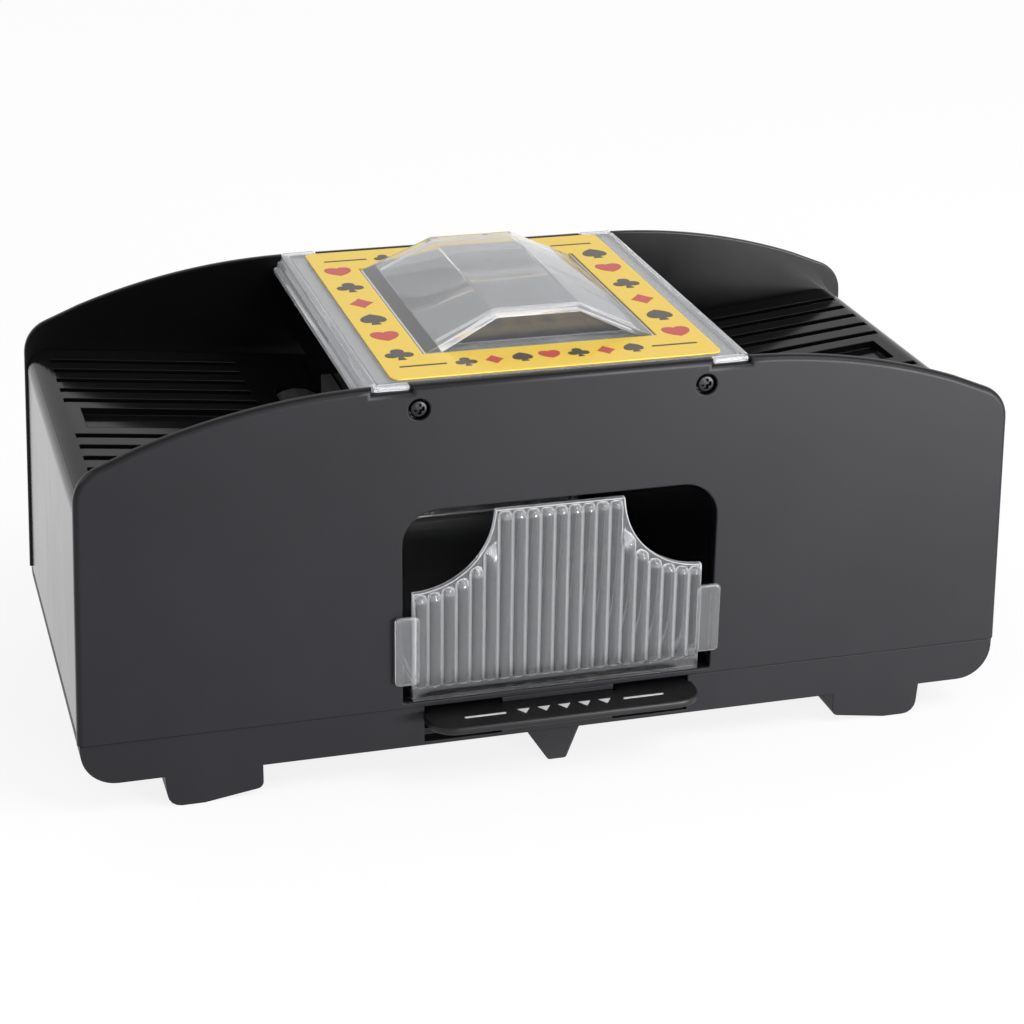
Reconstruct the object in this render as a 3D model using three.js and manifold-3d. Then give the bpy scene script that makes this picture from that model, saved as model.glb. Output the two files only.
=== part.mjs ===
// Automatic card shuffler, battery powered, for two halves of a deck of playing cards.
//
// Units are millimetres. +X runs along the length, the drawer side faces -Y, +Z is up.
// The origin is on the table, under the centre of the overall box.
//
// The cards lie in two sloping hoppers. A rubber-roller feed unit under each hopper throws them
// into the middle well, where they land in a clear drawer. The two feed units are the same
// module, turned half a turn about the middle of the machine.

import * as THREE from 'three';
import { mergeVertices } from 'three/addons/utils/BufferGeometryUtils.js';
import Module from 'manifold-3d';

const wasm = await Module();
wasm.setup();

// ---------------------------------------------------------------- driving dimensions

// Overall body
const LENGTH = 204; // along X, at the seam between base and panels
const DEPTH = 94.8; // along Y, over both panels
const BASE_BOTTOM = 7.1; // underside of the base above the table
const SEAM = 16.4; // height of the seam between base and panels
const PANEL_TOP = 88.3; // flat top of the panels
const DRAFT = 0.038; // panel ends lean in by this much per millimetre of height

// Clearances
const GAP = 0.3; // between pieces that touch or are cut by each other
const SLIDE_GAP = 0.35; // round sliding pieces
const PIN_GAP = 0.25; // radial, round pins and shafts

// Panels
const PANEL_WALL = 2.2;
const ARCH_RADIUS = 146; // side arcs of the top edge
const ARCH_START = 38; // half-length of the flat top
const PANEL_CORNER = 8; // rounding where the arch meets the end
const WINDOW_HALF = 34;
const WINDOW_BOTTOM = 17.8;
const WINDOW_TOP = 61.1;
const WINDOW_CORNER = 7.5;
const NOTCH_INNER = 32; // seats for the cover's corner tabs, in X
const NOTCH_OUTER = 40;
const NOTCH_DEPTH = 1.3;

// Base
const BASE_WALL = 2.2;
const BASE_INSET = 0.5; // base is this much smaller than the panels all round
const BASE_CORNER = 7.5;
const LEAD_WAY_Y = 12; // opening in each rail for the leads
const DECK_SEAT = 2.8; // width of the ledge that the deck lies on
const FOOT_INNER = 64;
const FOOT_OUTER = 84.5;
const FOOT_DEPTH = 12;
const LEG_TOP = 14.5;
const LEG_TIP = 4;
const LEG_THICK = 5;
const LEG_LEAN = 4; // tip is this much nearer the front than the top
const LEG_SETBACK = 3.7; // top of the leg behind the base's front face

// Playing card and hopper
const WELL_HALF = 34.3; // inner faces of the well walls
const HOPPER_WALL = 2;
const FLOOR_THICK = 2.6;
const FLOOR_INNER_Z = 63.8; // floor height at the well
const FLOOR_SLOPE = 0.1035;
const HOPPER_INSET = 0.5; // end wall behind the panel's end
const HOPPER_ROUND = 5;
const GROOVE_COUNT = 5; // on each side of the middle channel
const GROOVE_PITCH = 6.5;
const GROOVE_WIDTH = 2.4;
const GROOVE_DEPTH = 1.1;
const GROOVE_INNER_X = 53;
const GROOVE_OUTER_X = 95;
const CHANNEL_HALF = 6;
const CHANNEL_OUTER_X = 92;
const CHANNEL_DEPTH = 1.6;

// Card gate
const GATE_SLOT = 1.4; // height of the slot that lets one card through
const GATE_TOP = 86.1;
const GATE_WALL = 2;
const GATE_FLANGE = 5.2; // top flange that carries the cover
const PAD_THICK = 2.2;
const PAD_HALF = 9;
const PAD_HEIGHT = 6;

// Top cover
const COVER_HALF_X = 40;
const COVER_TOP = 88.4;
const COVER_THICK = 2;
const COVER_WALL = 1.6;
const SKIRT_OUT = 2.2;
const SKIRT_BOTTOM = 84.35;
const HOOD_HALF_X = 25;
const HOOD_HALF_Y = 29.7;
const HOOD_TOP = 95.9;
const RIDGE_HALF_X = 9.3;
const RIDGE_HALF_Y = 27.3;
const HOOD_RECESS = 1.4; // end glass set back behind the hood's rim
const LABEL_HALF_X = 35.2;
const LABEL_HALF_Y = 43.6;
const LABEL_THICK = 0.25;
const LABEL_MARGIN = 0.4;

// Card drawer
const DRAWER_HALF = 32.15;
const RIB_COUNT = 21;
const DRAWER_FLOOR = 2.5;
const DRAWER_PLATE = 1.3;
const DRAWER_SHOULDER = 43.7;
const DRAWER_CREST_HALF = 14.3;
const TAB_WIDTH = 5;
const TAB_BOTTOM = 22.5;
const TAB_TOP = 38;
const TAB_THICK = 1.2;
const DECK_THICK = 1.6;

// Operating lever
const PAD_REACH = 9.2; // pad in front of the panel
const LEVER_HALF = 30;
const LEVER_TOP = 15.3;
const LEVER_THICK = 1.6;
const LEVER_CORNER = 6;
const SLOT_INNER = 12.4;
const SLOT_OUTER = 29.4;
const SLOT_BOTTOM = 7.9;
const PIVOT_Y = -20;
const PIVOT_Z = 12.6;
const PIVOT_RADIUS = 1;
const BARREL_RADIUS = 2.4;
const SPRING_RADIUS = 3;
const SPRING_WIRE = 0.35;
const SPRING_TURNS = 3;
const CONTACT_Y = -37;
const CONTACT_X = 9; // each fixed contact from the middle
const CONTACT_LENGTH = 12.5;
const POST_RISE = 0.7; // contact posts above the base's floor

// Feed unit
const FEED_X = 43.1;
const FEED_Z = 57;
const FEED_SHAFT_RADIUS = 1.5;
const ROLLER_RADIUS = 8.5;
const ROLLER_WIDTH = 8;
const ROLLER_Y = 15;
const MODULE = 0.6; // gear module
const FEED_TEETH = 13;
const IDLER_SMALL_TEETH = 12;
const IDLER_LARGE_TEETH = 30;
const PINION_TEETH = 10;
const GEAR_WIDTH = 3;
const PLATE_Y = 31; // inner face of the gear plate
const PLATE_THICK = 3;
const IDLER_ANGLE = -58; // idler axis seen from the feed shaft, in degrees below the horizontal
const MOTOR_ANGLE = -30; // motor axis seen from the idler axis
const AXLE_RADIUS = 1;
const BUSH_RADIUS = 3;
const MOTOR_RADIUS = 10;
const MOTOR_HALF_FLAT = 7.5;
const MOTOR_LENGTH = 25;
const MOTOR_SHAFT_RADIUS = 1;
const MOTOR_BOSS = 3; // radius of the bearing boss at each end
const MOTOR_TAB = 6.5; // terminals each side of the motor's axis
const MOTOR_TAB_LENGTH = 3;
const TOOTH_SHARE = 0.42; // tooth thickness as a share of the pitch, on the pitch circle

// Batteries, AA size
const CELL_RADIUS = 7.1;
const CELL_BODY = 49.2;
const CELL_NUB = 1;
const CELL_PITCH = 15.1;
const CELL_COUNT = 4;
const BAY_WALL = 1.5;
const BAY_INNER_X = 41.5; // bay's inner end, distance from the middle
const CONTACT_ROOM = 1.7; // left for the contacts at each end of the cells
const CONTACT_THICK = 0.5;
const DOOR_THICK = 1.9;

// Fasteners
const PANEL_SCREW_X = 30.5;
const PANEL_SCREW_Z = 83.2;
const PANEL_SCREW = { head: 1.85, headHeight: 0.9, shank: 1, length: 8 };
const BASE_SCREW_X = 89;
const BASE_SCREW_Y = 38;
const BASE_SCREW = { head: 2.8, headHeight: 1.6, shank: 1.4, length: 16 };
const BOSS_WALL = 2;

// Leads
const LEAD_RADIUS = 0.6;

// ---------------------------------------------------------------- places worked out from them

const FRONT = -DEPTH / 2; // outer face of the front panel
const PANEL_INNER = DEPTH / 2 - PANEL_WALL;
const PANEL_BOTTOM = SEAM + GAP / 2;
const BASE_TOP = SEAM - GAP / 2;
const BASE_HALF_X = LENGTH / 2 - BASE_INSET;
const BASE_HALF_Y = DEPTH / 2 - BASE_INSET;
const BASE_FLOOR = BASE_BOTTOM + BASE_WALL;
const CAVITY_Y = BASE_HALF_Y - BASE_WALL;
const INNER_Y = PANEL_INNER - GAP; // half-depth of what stands between the panels
const WELL_OUTER = WELL_HALF + HOPPER_WALL;
const DECK_BOTTOM = BASE_TOP - GAP;
const DECK_TOP = DECK_BOTTOM + DECK_THICK;
const DECK_HALF = WELL_HALF - GAP;
const DRAWER_BOTTOM = DECK_TOP + SLIDE_GAP;
const DRAWER_TOP = WINDOW_TOP - SLIDE_GAP;
const RIB_PITCH = (2 * DRAWER_HALF) / RIB_COUNT;
const RIB_RADIUS = RIB_PITCH / 2 - 0.1;
const COVER_BOTTOM = COVER_TOP - COVER_THICK;
const COVER_HALF_Y = INNER_Y - 0.2;
const LEVER_BOTTOM = LEVER_TOP - LEVER_THICK;
const BAY_LENGTH = CELL_BODY + CELL_NUB + 2 * CONTACT_ROOM;
const BAY_OUTER_X = BAY_INNER_X + BAY_LENGTH;
const BAY_HALF_Y = (CELL_COUNT * CELL_PITCH) / 2 + 1;
const DOOR_TOP = BASE_BOTTOM + DOOR_THICK;
const CELL_Z = DOOR_TOP + GAP + CELL_RADIUS;
const BAY_ROOF = CELL_Z + CELL_RADIUS + 0.8;
const CELL_MIDDLE_X = -(BAY_INNER_X + BAY_OUTER_X) / 2;
const CELL_HALF = (CELL_BODY + CELL_NUB) / 2;
const TERMINAL_Y = ((CELL_COUNT - 1) / 2) * CELL_PITCH; // outermost cells
const POST_TOP = BASE_FLOOR + POST_RISE;
const CONTACT_BACK = CONTACT_Y - 2.5 + CONTACT_LENGTH;
const LEAD_FLOOR = BASE_FLOOR + LEAD_RADIUS + GAP; // a lead lying on the base
const MOTOR_FRONT = PLATE_Y - GAP;
const MOTOR_REAR = MOTOR_FRONT - MOTOR_LENGTH;
const MOTOR_TAIL = MOTOR_REAR - MOTOR_TAB_LENGTH - GAP - 0.1; // where a lead ends at its tab

const FEED = new THREE.Vector2(FEED_X, FEED_Z);
const IDLER = gearAxis(FEED, FEED_TEETH, IDLER_SMALL_TEETH, IDLER_ANGLE);
const MOTOR = gearAxis(IDLER, IDLER_LARGE_TEETH, PINION_TEETH, MOTOR_ANGLE);
const SMALL_GEAR_Y = PLATE_Y + PLATE_THICK + 1.2;
const LARGE_GEAR_Y = SMALL_GEAR_Y + GEAR_WIDTH + 0.6;
const PAD_INNER_X = WELL_HALF + GATE_WALL + GAP;

function panelHalf(z) {
  return LENGTH / 2 - DRAFT * (z - SEAM);
}

function archHeight(x) {
  const run = Math.max(0, Math.abs(x) - ARCH_START);
  return PANEL_TOP - ARCH_RADIUS + Math.sqrt(ARCH_RADIUS ** 2 - run ** 2);
}

function floorHeight(x) {
  return FLOOR_INNER_Z + FLOOR_SLOPE * (x - WELL_HALF);
}

function gearAxis(from, teethFrom, teethTo, degrees) {
  const reach = (MODULE * (teethFrom + teethTo)) / 2;
  const angle = THREE.MathUtils.degToRad(degrees);
  return new THREE.Vector2(from.x + reach * Math.cos(angle), from.y + reach * Math.sin(angle));
}

// ---------------------------------------------------------------- solid helpers

function solidOf(geometry) {
  const bare = geometry.clone();
  bare.deleteAttribute('normal');
  bare.deleteAttribute('uv');
  const merged = mergeVertices(bare, 1e-5);
  const mesh = new wasm.Mesh({
    numProp: 3,
    vertProperties: new Float32Array(merged.attributes.position.array),
    triVerts: new Uint32Array(merged.index.array),
  });
  return new wasm.Manifold(mesh);
}

function geometryOf(solid) {
  const mesh = solid.getMesh();
  const geometry = new THREE.BufferGeometry();
  geometry.setAttribute('position', new THREE.BufferAttribute(new Float32Array(mesh.vertProperties), 3));
  geometry.setIndex(new THREE.BufferAttribute(new Uint32Array(mesh.triVerts), 1));
  geometry.computeVertexNormals();
  return geometry;
}

function join(first, ...others) {
  return others.reduce((solid, other) => solid.add(other), first);
}

function cut(first, ...others) {
  return others.reduce((solid, other) => solid.subtract(other), first);
}

// Box between two corners.
function block(x0, x1, y0, y1, z0, z1) {
  const geometry = new THREE.BoxGeometry(x1 - x0, y1 - y0, z1 - z0);
  return solidOf(geometry.translate((x0 + x1) / 2, (y0 + y1) / 2, (z0 + z1) / 2));
}

// Closed outline through corner points [a, b, radius], each corner rounded by a true arc.
function outline(corners) {
  const shape = new THREE.Shape();
  const count = corners.length;
  corners.forEach(([a, b, radius = 0], i) => {
    const corner = new THREE.Vector2(a, b);
    const before = new THREE.Vector2(...corners[(i + count - 1) % count].slice(0, 2));
    const after = new THREE.Vector2(...corners[(i + 1) % count].slice(0, 2));
    const toBefore = before.sub(corner).normalize();
    const toAfter = after.sub(corner).normalize();
    const half = Math.acos(THREE.MathUtils.clamp(toBefore.dot(toAfter), -1, 1)) / 2;
    const start = corner.clone().addScaledVector(toBefore, radius / Math.tan(half));
    if (i === 0) shape.moveTo(start.x, start.y);
    else shape.lineTo(start.x, start.y);
    if (radius === 0) return;
    const end = corner.clone().addScaledVector(toAfter, radius / Math.tan(half));
    const inward = toBefore.clone().add(toAfter).normalize();
    const centre = corner.clone().addScaledVector(inward, radius / Math.sin(half));
    const from = Math.atan2(start.y - centre.y, start.x - centre.x);
    const to = Math.atan2(end.y - centre.y, end.x - centre.x);
    shape.absarc(centre.x, centre.y, radius, from, to, toBefore.cross(toAfter) > 0);
  });
  return shape;
}

function rectangle(a0, a1, b0, b1, radius = 0) {
  return outline([[a0, b0, radius], [a1, b0, radius], [a1, b1, radius], [a0, b1, radius]]);
}

const CORNER_STEPS = 5; // finer arcs for the large corners that show

const SIDE_ON = new THREE.Matrix4().makeBasis(
  new THREE.Vector3(1, 0, 0), new THREE.Vector3(0, 0, 1), new THREE.Vector3(0, -1, 0));
const END_ON = new THREE.Matrix4().makeBasis(
  new THREE.Vector3(0, 1, 0), new THREE.Vector3(0, 0, 1), new THREE.Vector3(1, 0, 0));

function extrusion(shape, depth, curveSegments = 2) {
  return new THREE.ExtrudeGeometry(shape, { depth, bevelEnabled: false, curveSegments });
}

// Prism of an (x, z) outline between two depths in y.
function alongY(shape, y0, y1, curveSegments) {
  const geometry = extrusion(shape, y1 - y0, curveSegments).applyMatrix4(SIDE_ON);
  return solidOf(geometry.translate(0, y1, 0));
}

// Prism of a (y, z) outline between two places in x.
function alongX(shape, x0, x1, curveSegments) {
  const geometry = extrusion(shape, x1 - x0, curveSegments).applyMatrix4(END_ON);
  return solidOf(geometry.translate(x0, 0, 0));
}

// Prism of an (x, y) outline between two heights.
function alongZ(shape, z0, z1, curveSegments) {
  return solidOf(extrusion(shape, z1 - z0, curveSegments).translate(0, 0, z0));
}

function cylinderY(radius, x, z, y0, y1, sides = 16) {
  const geometry = new THREE.CylinderGeometry(radius, radius, y1 - y0, sides);
  return solidOf(geometry.translate(x, (y0 + y1) / 2, z));
}

function cylinderX(radius, y, z, x0, x1, sides = 12) {
  const geometry = new THREE.CylinderGeometry(radius, radius, x1 - x0, sides).rotateZ(Math.PI / 2);
  return solidOf(geometry.translate((x0 + x1) / 2, y, z));
}

function cylinderZ(radius, x, y, z0, z1, sides = 12) {
  const geometry = new THREE.CylinderGeometry(radius, radius, z1 - z0, sides).rotateX(Math.PI / 2);
  return solidOf(geometry.translate(x, y, (z0 + z1) / 2));
}

// ---------------------------------------------------------------- materials

const PLASTIC = { roughness: 0.42, metalness: 0 };
const STEEL = { roughness: 0.3, metalness: 1 };
const CLEAR = { roughness: 0.06, metalness: 0, transparent: true, opacity: 0.35 };

const FINISH = {
  shell: { color: '#26272a', ...PLASTIC },
  inner: { color: '#121214', roughness: 0.2, metalness: 0 },
  clear: { color: '#e9edf2', ...CLEAR },
  label: { color: '#f0c93a', roughness: 0.35, metalness: 0 },
  rubber: { color: '#3a3a3a', roughness: 0.9, metalness: 0 },
  gear: { color: '#e6e2d6', roughness: 0.5, metalness: 0 },
  steel: { color: '#b8bcc2', ...STEEL },
  blackSteel: { color: '#2c2c2e', roughness: 0.4, metalness: 1 },
  brass: { color: '#c9a35a', roughness: 0.35, metalness: 1 },
  cell: { color: '#3b6a8f', roughness: 0.35, metalness: 0.3 },
  redLead: { color: '#b02a22', roughness: 0.5, metalness: 0 },
  blackLead: { color: '#1a1a1a', roughness: 0.5, metalness: 0 },
};

function piece(name, shape, finish) {
  const geometry = shape.isBufferGeometry ? shape : geometryOf(shape);
  const mesh = new THREE.Mesh(geometry, new THREE.MeshStandardMaterial(FINISH[finish]));
  mesh.name = name;
  return mesh;
}

// ---------------------------------------------------------------- panels

function panelOutline() {
  const arch = [];
  const steps = 9;
  const archEnd = panelHalf(PANEL_TOP) - 1.5 * PANEL_CORNER;
  for (let i = 0; i <= steps; i += 1) {
    const x = archEnd + ((ARCH_START - archEnd) * i) / steps;
    arch.push([x, archHeight(x)]);
  }
  const side = panelHalf(archHeight(panelHalf(PANEL_TOP)));
  const bottom = panelHalf(PANEL_BOTTOM);
  const right = [[bottom, PANEL_BOTTOM], [side, archHeight(side), PANEL_CORNER], ...arch];
  const left = right.map(([x, z, radius]) => [-x, z, radius]).reverse();
  return outline([...right, ...left]);
}

// A panel that faces -Y; the rear one is the same panel turned round.
function panel(name, hasWindow) {
  let body = alongY(panelOutline(), FRONT, FRONT + PANEL_WALL);
  for (const side of [-1, 1]) {
    const [x0, x1] = [side * NOTCH_INNER, side * NOTCH_OUTER].sort((a, b) => a - b);
    const x = side * PANEL_SCREW_X;
    const recess = PANEL_SCREW.headHeight + GAP;
    body = cut(
      body,
      block(x0, x1, FRONT - 1, -PANEL_INNER + 1, PANEL_TOP - NOTCH_DEPTH, PANEL_TOP + 1),
      cylinderY(PANEL_SCREW.head + GAP, x, PANEL_SCREW_Z, FRONT - 1, FRONT + recess),
      cylinderY(PANEL_SCREW.shank + PIN_GAP, x, PANEL_SCREW_Z, FRONT, -PANEL_INNER + 1, 12),
    );
  }
  if (hasWindow) {
    const corners = [
      [-WINDOW_HALF, WINDOW_BOTTOM], [WINDOW_HALF, WINDOW_BOTTOM],
      [WINDOW_HALF, WINDOW_TOP, WINDOW_CORNER], [-WINDOW_HALF, WINDOW_TOP, WINDOW_CORNER],
    ];
    body = cut(body, alongY(outline(corners), FRONT - 1, -PANEL_INNER + 1));
  }
  return piece(name, body, 'shell');
}

// ---------------------------------------------------------------- base

function trayShape(halfX, bottom, corner, top) {
  return outline([[-halfX, bottom, corner], [halfX, bottom, corner], [halfX, top], [-halfX, top]]);
}

function foot() {
  const top = BASE_BOTTOM + 0.5;
  const flatStart = FOOT_OUTER - 8;
  const flatEnd = FOOT_OUTER - 0.5;
  const corners = [
    [FOOT_INNER, top], [FOOT_INNER, 1.9, 1.5], [flatStart, 0], [flatEnd, 0, 3], [FOOT_OUTER, top],
  ];
  return alongY(outline(corners), -BASE_HALF_Y, -BASE_HALF_Y + FOOT_DEPTH);
}

// Tapered tongue under the lever pad that stops the machine tipping when the pad is pressed.
function leg() {
  const top = BASE_BOTTOM + 0.5;
  const face = [[-LEG_TOP / 2, top], [LEG_TOP / 2, top], [LEG_TIP / 2, 0, 0.8], [-LEG_TIP / 2, 0, 0.8]];
  const geometry = extrusion(outline(face), LEG_THICK).applyMatrix4(SIDE_ON);
  const lean = new THREE.Matrix4().makeShear(0, 0, 0, 0, 0, LEG_LEAN / BASE_BOTTOM);
  geometry.translate(0, -BASE_HALF_Y + LEG_SETBACK + LEG_THICK, -BASE_BOTTOM);
  geometry.applyMatrix4(lean).translate(0, 0, BASE_BOTTOM);
  return solidOf(geometry);
}

function turned(solid) {
  return solid.rotate([0, 0, 180]);
}

// Rail that the well wall stands on, with a lower ledge for the deck beside it.
function rail() {
  const ledge = block(WELL_HALF - DECK_SEAT, WELL_HALF, -CAVITY_Y - 1, CAVITY_Y + 1, BASE_BOTTOM + 1,
    DECK_BOTTOM - GAP);
  const wall = block(WELL_HALF, WELL_OUTER, -CAVITY_Y - 1, CAVITY_Y + 1, BASE_BOTTOM + 1, BASE_TOP);
  const leadWay = block(WELL_HALF - DECK_SEAT - 1, WELL_OUTER + 1, LEAD_WAY_Y - 6, LEAD_WAY_Y + 6,
    BASE_FLOOR, BASE_FLOOR + 4.5);
  return cut(join(ledge, wall), leadWay);
}

function batteryBay() {
  return block(-BAY_OUTER_X - BAY_WALL, -BAY_INNER_X + BAY_WALL, -BAY_HALF_Y - BAY_WALL,
    BAY_HALF_Y + BAY_WALL, BASE_FLOOR - 1, BAY_ROOF + BAY_WALL);
}

// Where a lead leaves the battery bay for its terminal.
function terminalHole(y) {
  return block(-BAY_INNER_X - 1, -BAY_INNER_X + BAY_WALL + 1, y - 2, y + 2, BASE_FLOOR + 1, BASE_FLOOR + 4);
}

function baseTray() {
  const outer = alongY(
    trayShape(BASE_HALF_X, BASE_BOTTOM, BASE_CORNER, BASE_TOP), -BASE_HALF_Y, BASE_HALF_Y, CORNER_STEPS);
  const inner = trayShape(BASE_HALF_X - BASE_WALL, BASE_FLOOR, BASE_CORNER - BASE_WALL, BASE_TOP + 1);
  let body = cut(outer, alongY(inner, -CAVITY_Y, CAVITY_Y));
  const feet = [foot(), turned(foot())];
  const mirrored = feet.map((solid) => solid.mirror([1, 0, 0]));
  body = join(body, ...feet, ...mirrored, leg(), rail(), turned(rail()), batteryBay());
  for (const x of [-BASE_SCREW_X, BASE_SCREW_X]) {
    for (const y of [-BASE_SCREW_Y, BASE_SCREW_Y]) {
      body = join(body, cylinderZ(BASE_SCREW.shank + PIN_GAP + BOSS_WALL, x, y, BASE_FLOOR - 1, BASE_TOP));
      body = cut(
        body,
        cylinderZ(BASE_SCREW.head + GAP, x, y, BASE_BOTTOM - 1, BASE_BOTTOM + BASE_SCREW.headHeight + GAP),
        cylinderZ(BASE_SCREW.shank + PIN_GAP, x, y, BASE_BOTTOM, BASE_TOP + 1),
      );
    }
  }
  for (const side of [-1, 1]) {
    const [x0, x1] = [side * SLOT_INNER, side * SLOT_OUTER].sort((a, b) => a - b);
    body = join(body, switchPost(side));
    body = cut(body, block(x0, x1, -BASE_HALF_Y - 1, -CAVITY_Y + 1, SLOT_BOTTOM, BASE_TOP + 1));
  }
  return piece('base_tray', cut(
    body,
    block(-BAY_OUTER_X, -BAY_INNER_X, -BAY_HALF_Y, BAY_HALF_Y, BASE_BOTTOM - 1, BAY_ROOF),
    cylinderX(PIVOT_RADIUS + PIN_GAP, PIVOT_Y, PIVOT_Z, -WELL_OUTER - 1, WELL_OUTER + 1),
    terminalHole(-TERMINAL_Y),
    terminalHole(TERMINAL_Y),
  ), 'shell');
}

// ---------------------------------------------------------------- switch and lever

function switchPost(side) {
  const x = side * CONTACT_X;
  return block(x - 2.5, x + 2.5, CONTACT_Y - 3, CONTACT_BACK + 1, BASE_FLOOR - 1, POST_TOP);
}

function fixedContact(name, side) {
  const x = side * CONTACT_X;
  const bottom = POST_TOP + GAP;
  const strip = block(x - 2, x + 2, CONTACT_Y - 2.5, CONTACT_BACK, bottom, bottom + CONTACT_THICK);
  return piece(name, strip, 'brass');
}

function shortingBar() {
  const top = LEVER_BOTTOM - GAP;
  const reach = CONTACT_X + 2;
  const bar = block(-reach, reach, CONTACT_Y - 1.5, CONTACT_Y + 1.5, top - CONTACT_THICK, top);
  const window = cylinderZ(SPRING_RADIUS + 1.2, 0, CONTACT_Y, top - 2, top + 1);
  const bridge = block(-reach, reach, CONTACT_Y + 4.2, CONTACT_Y + 6.2, top - CONTACT_THICK, top);
  const ends = [-1, 1].map((side) => block(side * CONTACT_X - 2, side * CONTACT_X + 2, CONTACT_Y - 1.5,
    CONTACT_Y + 6.2, top - CONTACT_THICK, top));
  return piece('shorting_bar', join(cut(bar, window), bridge, ...ends), 'brass');
}

class Helix extends THREE.Curve {
  constructor(radius, turns, height) {
    super();
    Object.assign(this, { radius, turns, height });
  }

  getPoint(t, target = new THREE.Vector3()) {
    const angle = 2 * Math.PI * this.turns * t;
    return target.set(this.radius * Math.cos(angle), this.radius * Math.sin(angle), this.height * t);
  }
}

function wire(curve, radius, steps, sides = 8) {
  const ring = new THREE.Shape();
  ring.absarc(0, 0, radius, 0, 2 * Math.PI, false);
  const geometry = new THREE.ExtrudeGeometry(ring, {
    steps, extrudePath: curve, curveSegments: sides, bevelEnabled: false,
  });
  return geometryOf(solidOf(geometry));
}

function returnSpring() {
  const room = LEVER_BOTTOM - BASE_FLOOR - 2 * (GAP + SPRING_WIRE);
  const coil = wire(new Helix(SPRING_RADIUS, SPRING_TURNS, room), SPRING_WIRE, SPRING_TURNS * 12, 3);
  const spring = piece('lever_return_spring', coil, 'steel');
  spring.position.set(0, CONTACT_Y, BASE_FLOOR + GAP + SPRING_WIRE);
  return spring;
}

function operatingLever() {
  const padFront = FRONT - PAD_REACH;
  const padBack = FRONT - GAP;
  const armX0 = SLOT_INNER + 0.4;
  const armX1 = SLOT_OUTER - 0.4;
  const plateFront = -CAVITY_Y + GAP;
  const pad = outline([
    [-LEVER_HALF, padFront, LEVER_CORNER], [LEVER_HALF, padFront, LEVER_CORNER],
    [LEVER_HALF, padBack, 1], [-LEVER_HALF, padBack, 1],
  ]);
  const plate = rectangle(-armX1, armX1, plateFront, PIVOT_Y, 0);
  const arm = block(armX0, armX1, padBack - 1, plateFront + 1, LEVER_BOTTOM, LEVER_TOP);
  const body = join(
    alongZ(pad, LEVER_BOTTOM, LEVER_TOP),
    alongZ(plate, LEVER_BOTTOM, LEVER_TOP),
    arm,
    arm.mirror([1, 0, 0]),
    cylinderX(BARREL_RADIUS, PIVOT_Y, PIVOT_Z, -armX1, armX1),
  );
  const bore = cylinderX(PIVOT_RADIUS + PIN_GAP, PIVOT_Y, PIVOT_Z, -LEVER_HALF, LEVER_HALF);
  return piece('operating_lever', cut(body, bore), 'shell');
}

function pivotPin() {
  const reach = WELL_OUTER - 0.5;
  return piece('lever_pivot_pin', cylinderX(PIVOT_RADIUS, PIVOT_Y, PIVOT_Z, -reach, reach), 'steel');
}

// ---------------------------------------------------------------- deck and drawer

function drawerDeck() {
  const halfY = CAVITY_Y - GAP;
  return piece('drawer_deck', block(-DECK_HALF, DECK_HALF, -halfY, halfY, DECK_BOTTOM, DECK_TOP), 'inner');
}

// Half-round ribs side by side, seen from above.
function ribbedSection(back, front) {
  const shape = new THREE.Shape();
  shape.moveTo(-DRAWER_HALF, back);
  shape.lineTo(-DRAWER_HALF, front);
  for (let i = 0; i < RIB_COUNT; i += 1) {
    const x = -DRAWER_HALF + (i + 0.5) * RIB_PITCH;
    shape.lineTo(x - RIB_RADIUS, front);
    shape.absarc(x, front, RIB_RADIUS, Math.PI, 2 * Math.PI, false);
  }
  shape.lineTo(DRAWER_HALF, front);
  shape.lineTo(DRAWER_HALF, back);
  return shape;
}

// Front of the drawer: a crest in the middle and a cove down to each shoulder.
function drawerOutline() {
  const run = DRAWER_HALF - DRAWER_CREST_HALF;
  const rise = DRAWER_TOP - DRAWER_SHOULDER;
  const shape = new THREE.Shape();
  shape.moveTo(-DRAWER_HALF - 0.1, DRAWER_BOTTOM);
  shape.lineTo(DRAWER_HALF + 0.1, DRAWER_BOTTOM);
  shape.lineTo(DRAWER_HALF + 0.1, DRAWER_SHOULDER);
  shape.absellipse(DRAWER_HALF, DRAWER_TOP, run, rise, -Math.PI / 2, -Math.PI, true);
  shape.lineTo(-DRAWER_CREST_HALF, DRAWER_TOP);
  shape.absellipse(-DRAWER_HALF, DRAWER_TOP, run, rise, 0, -Math.PI / 2, true);
  shape.lineTo(-DRAWER_HALF - 0.1, DRAWER_SHOULDER);
  return shape;
}

function cardDrawer() {
  const plateFront = FRONT + 0.1;
  const plateBack = plateFront + DRAWER_PLATE;
  const ribFront = plateFront - RIB_RADIUS;
  const ribs = alongZ(ribbedSection(plateBack, plateFront), DRAWER_BOTTOM, DRAWER_TOP, 2);
  const face = ribs.intersect(alongY(drawerOutline(), ribFront - 1, plateBack + 1, 4));
  const back = INNER_Y - 1.5;
  const floorHalf = DRAWER_HALF - 0.3;
  const floorTop = DRAWER_BOTTOM + DRAWER_FLOOR;
  const tab = block(DRAWER_HALF - 1.2, DRAWER_HALF - 1 + TAB_WIDTH, FRONT - GAP - TAB_THICK, FRONT - GAP,
    TAB_BOTTOM, TAB_TOP);
  const side = block(floorHalf - 1.2, floorHalf, plateBack - 0.5, back, floorTop - 1, floorTop + 2);
  return piece('card_drawer', join(
    face,
    block(-floorHalf, floorHalf, plateBack - 0.5, back, DRAWER_BOTTOM, floorTop),
    block(-floorHalf, floorHalf, back - 1.4, back, floorTop - 1, floorTop + 3.5),
    side,
    side.mirror([1, 0, 0]),
    tab,
    tab.mirror([1, 0, 0]),
  ), 'clear');
}

// ---------------------------------------------------------------- hopper and gate, right-hand side

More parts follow.
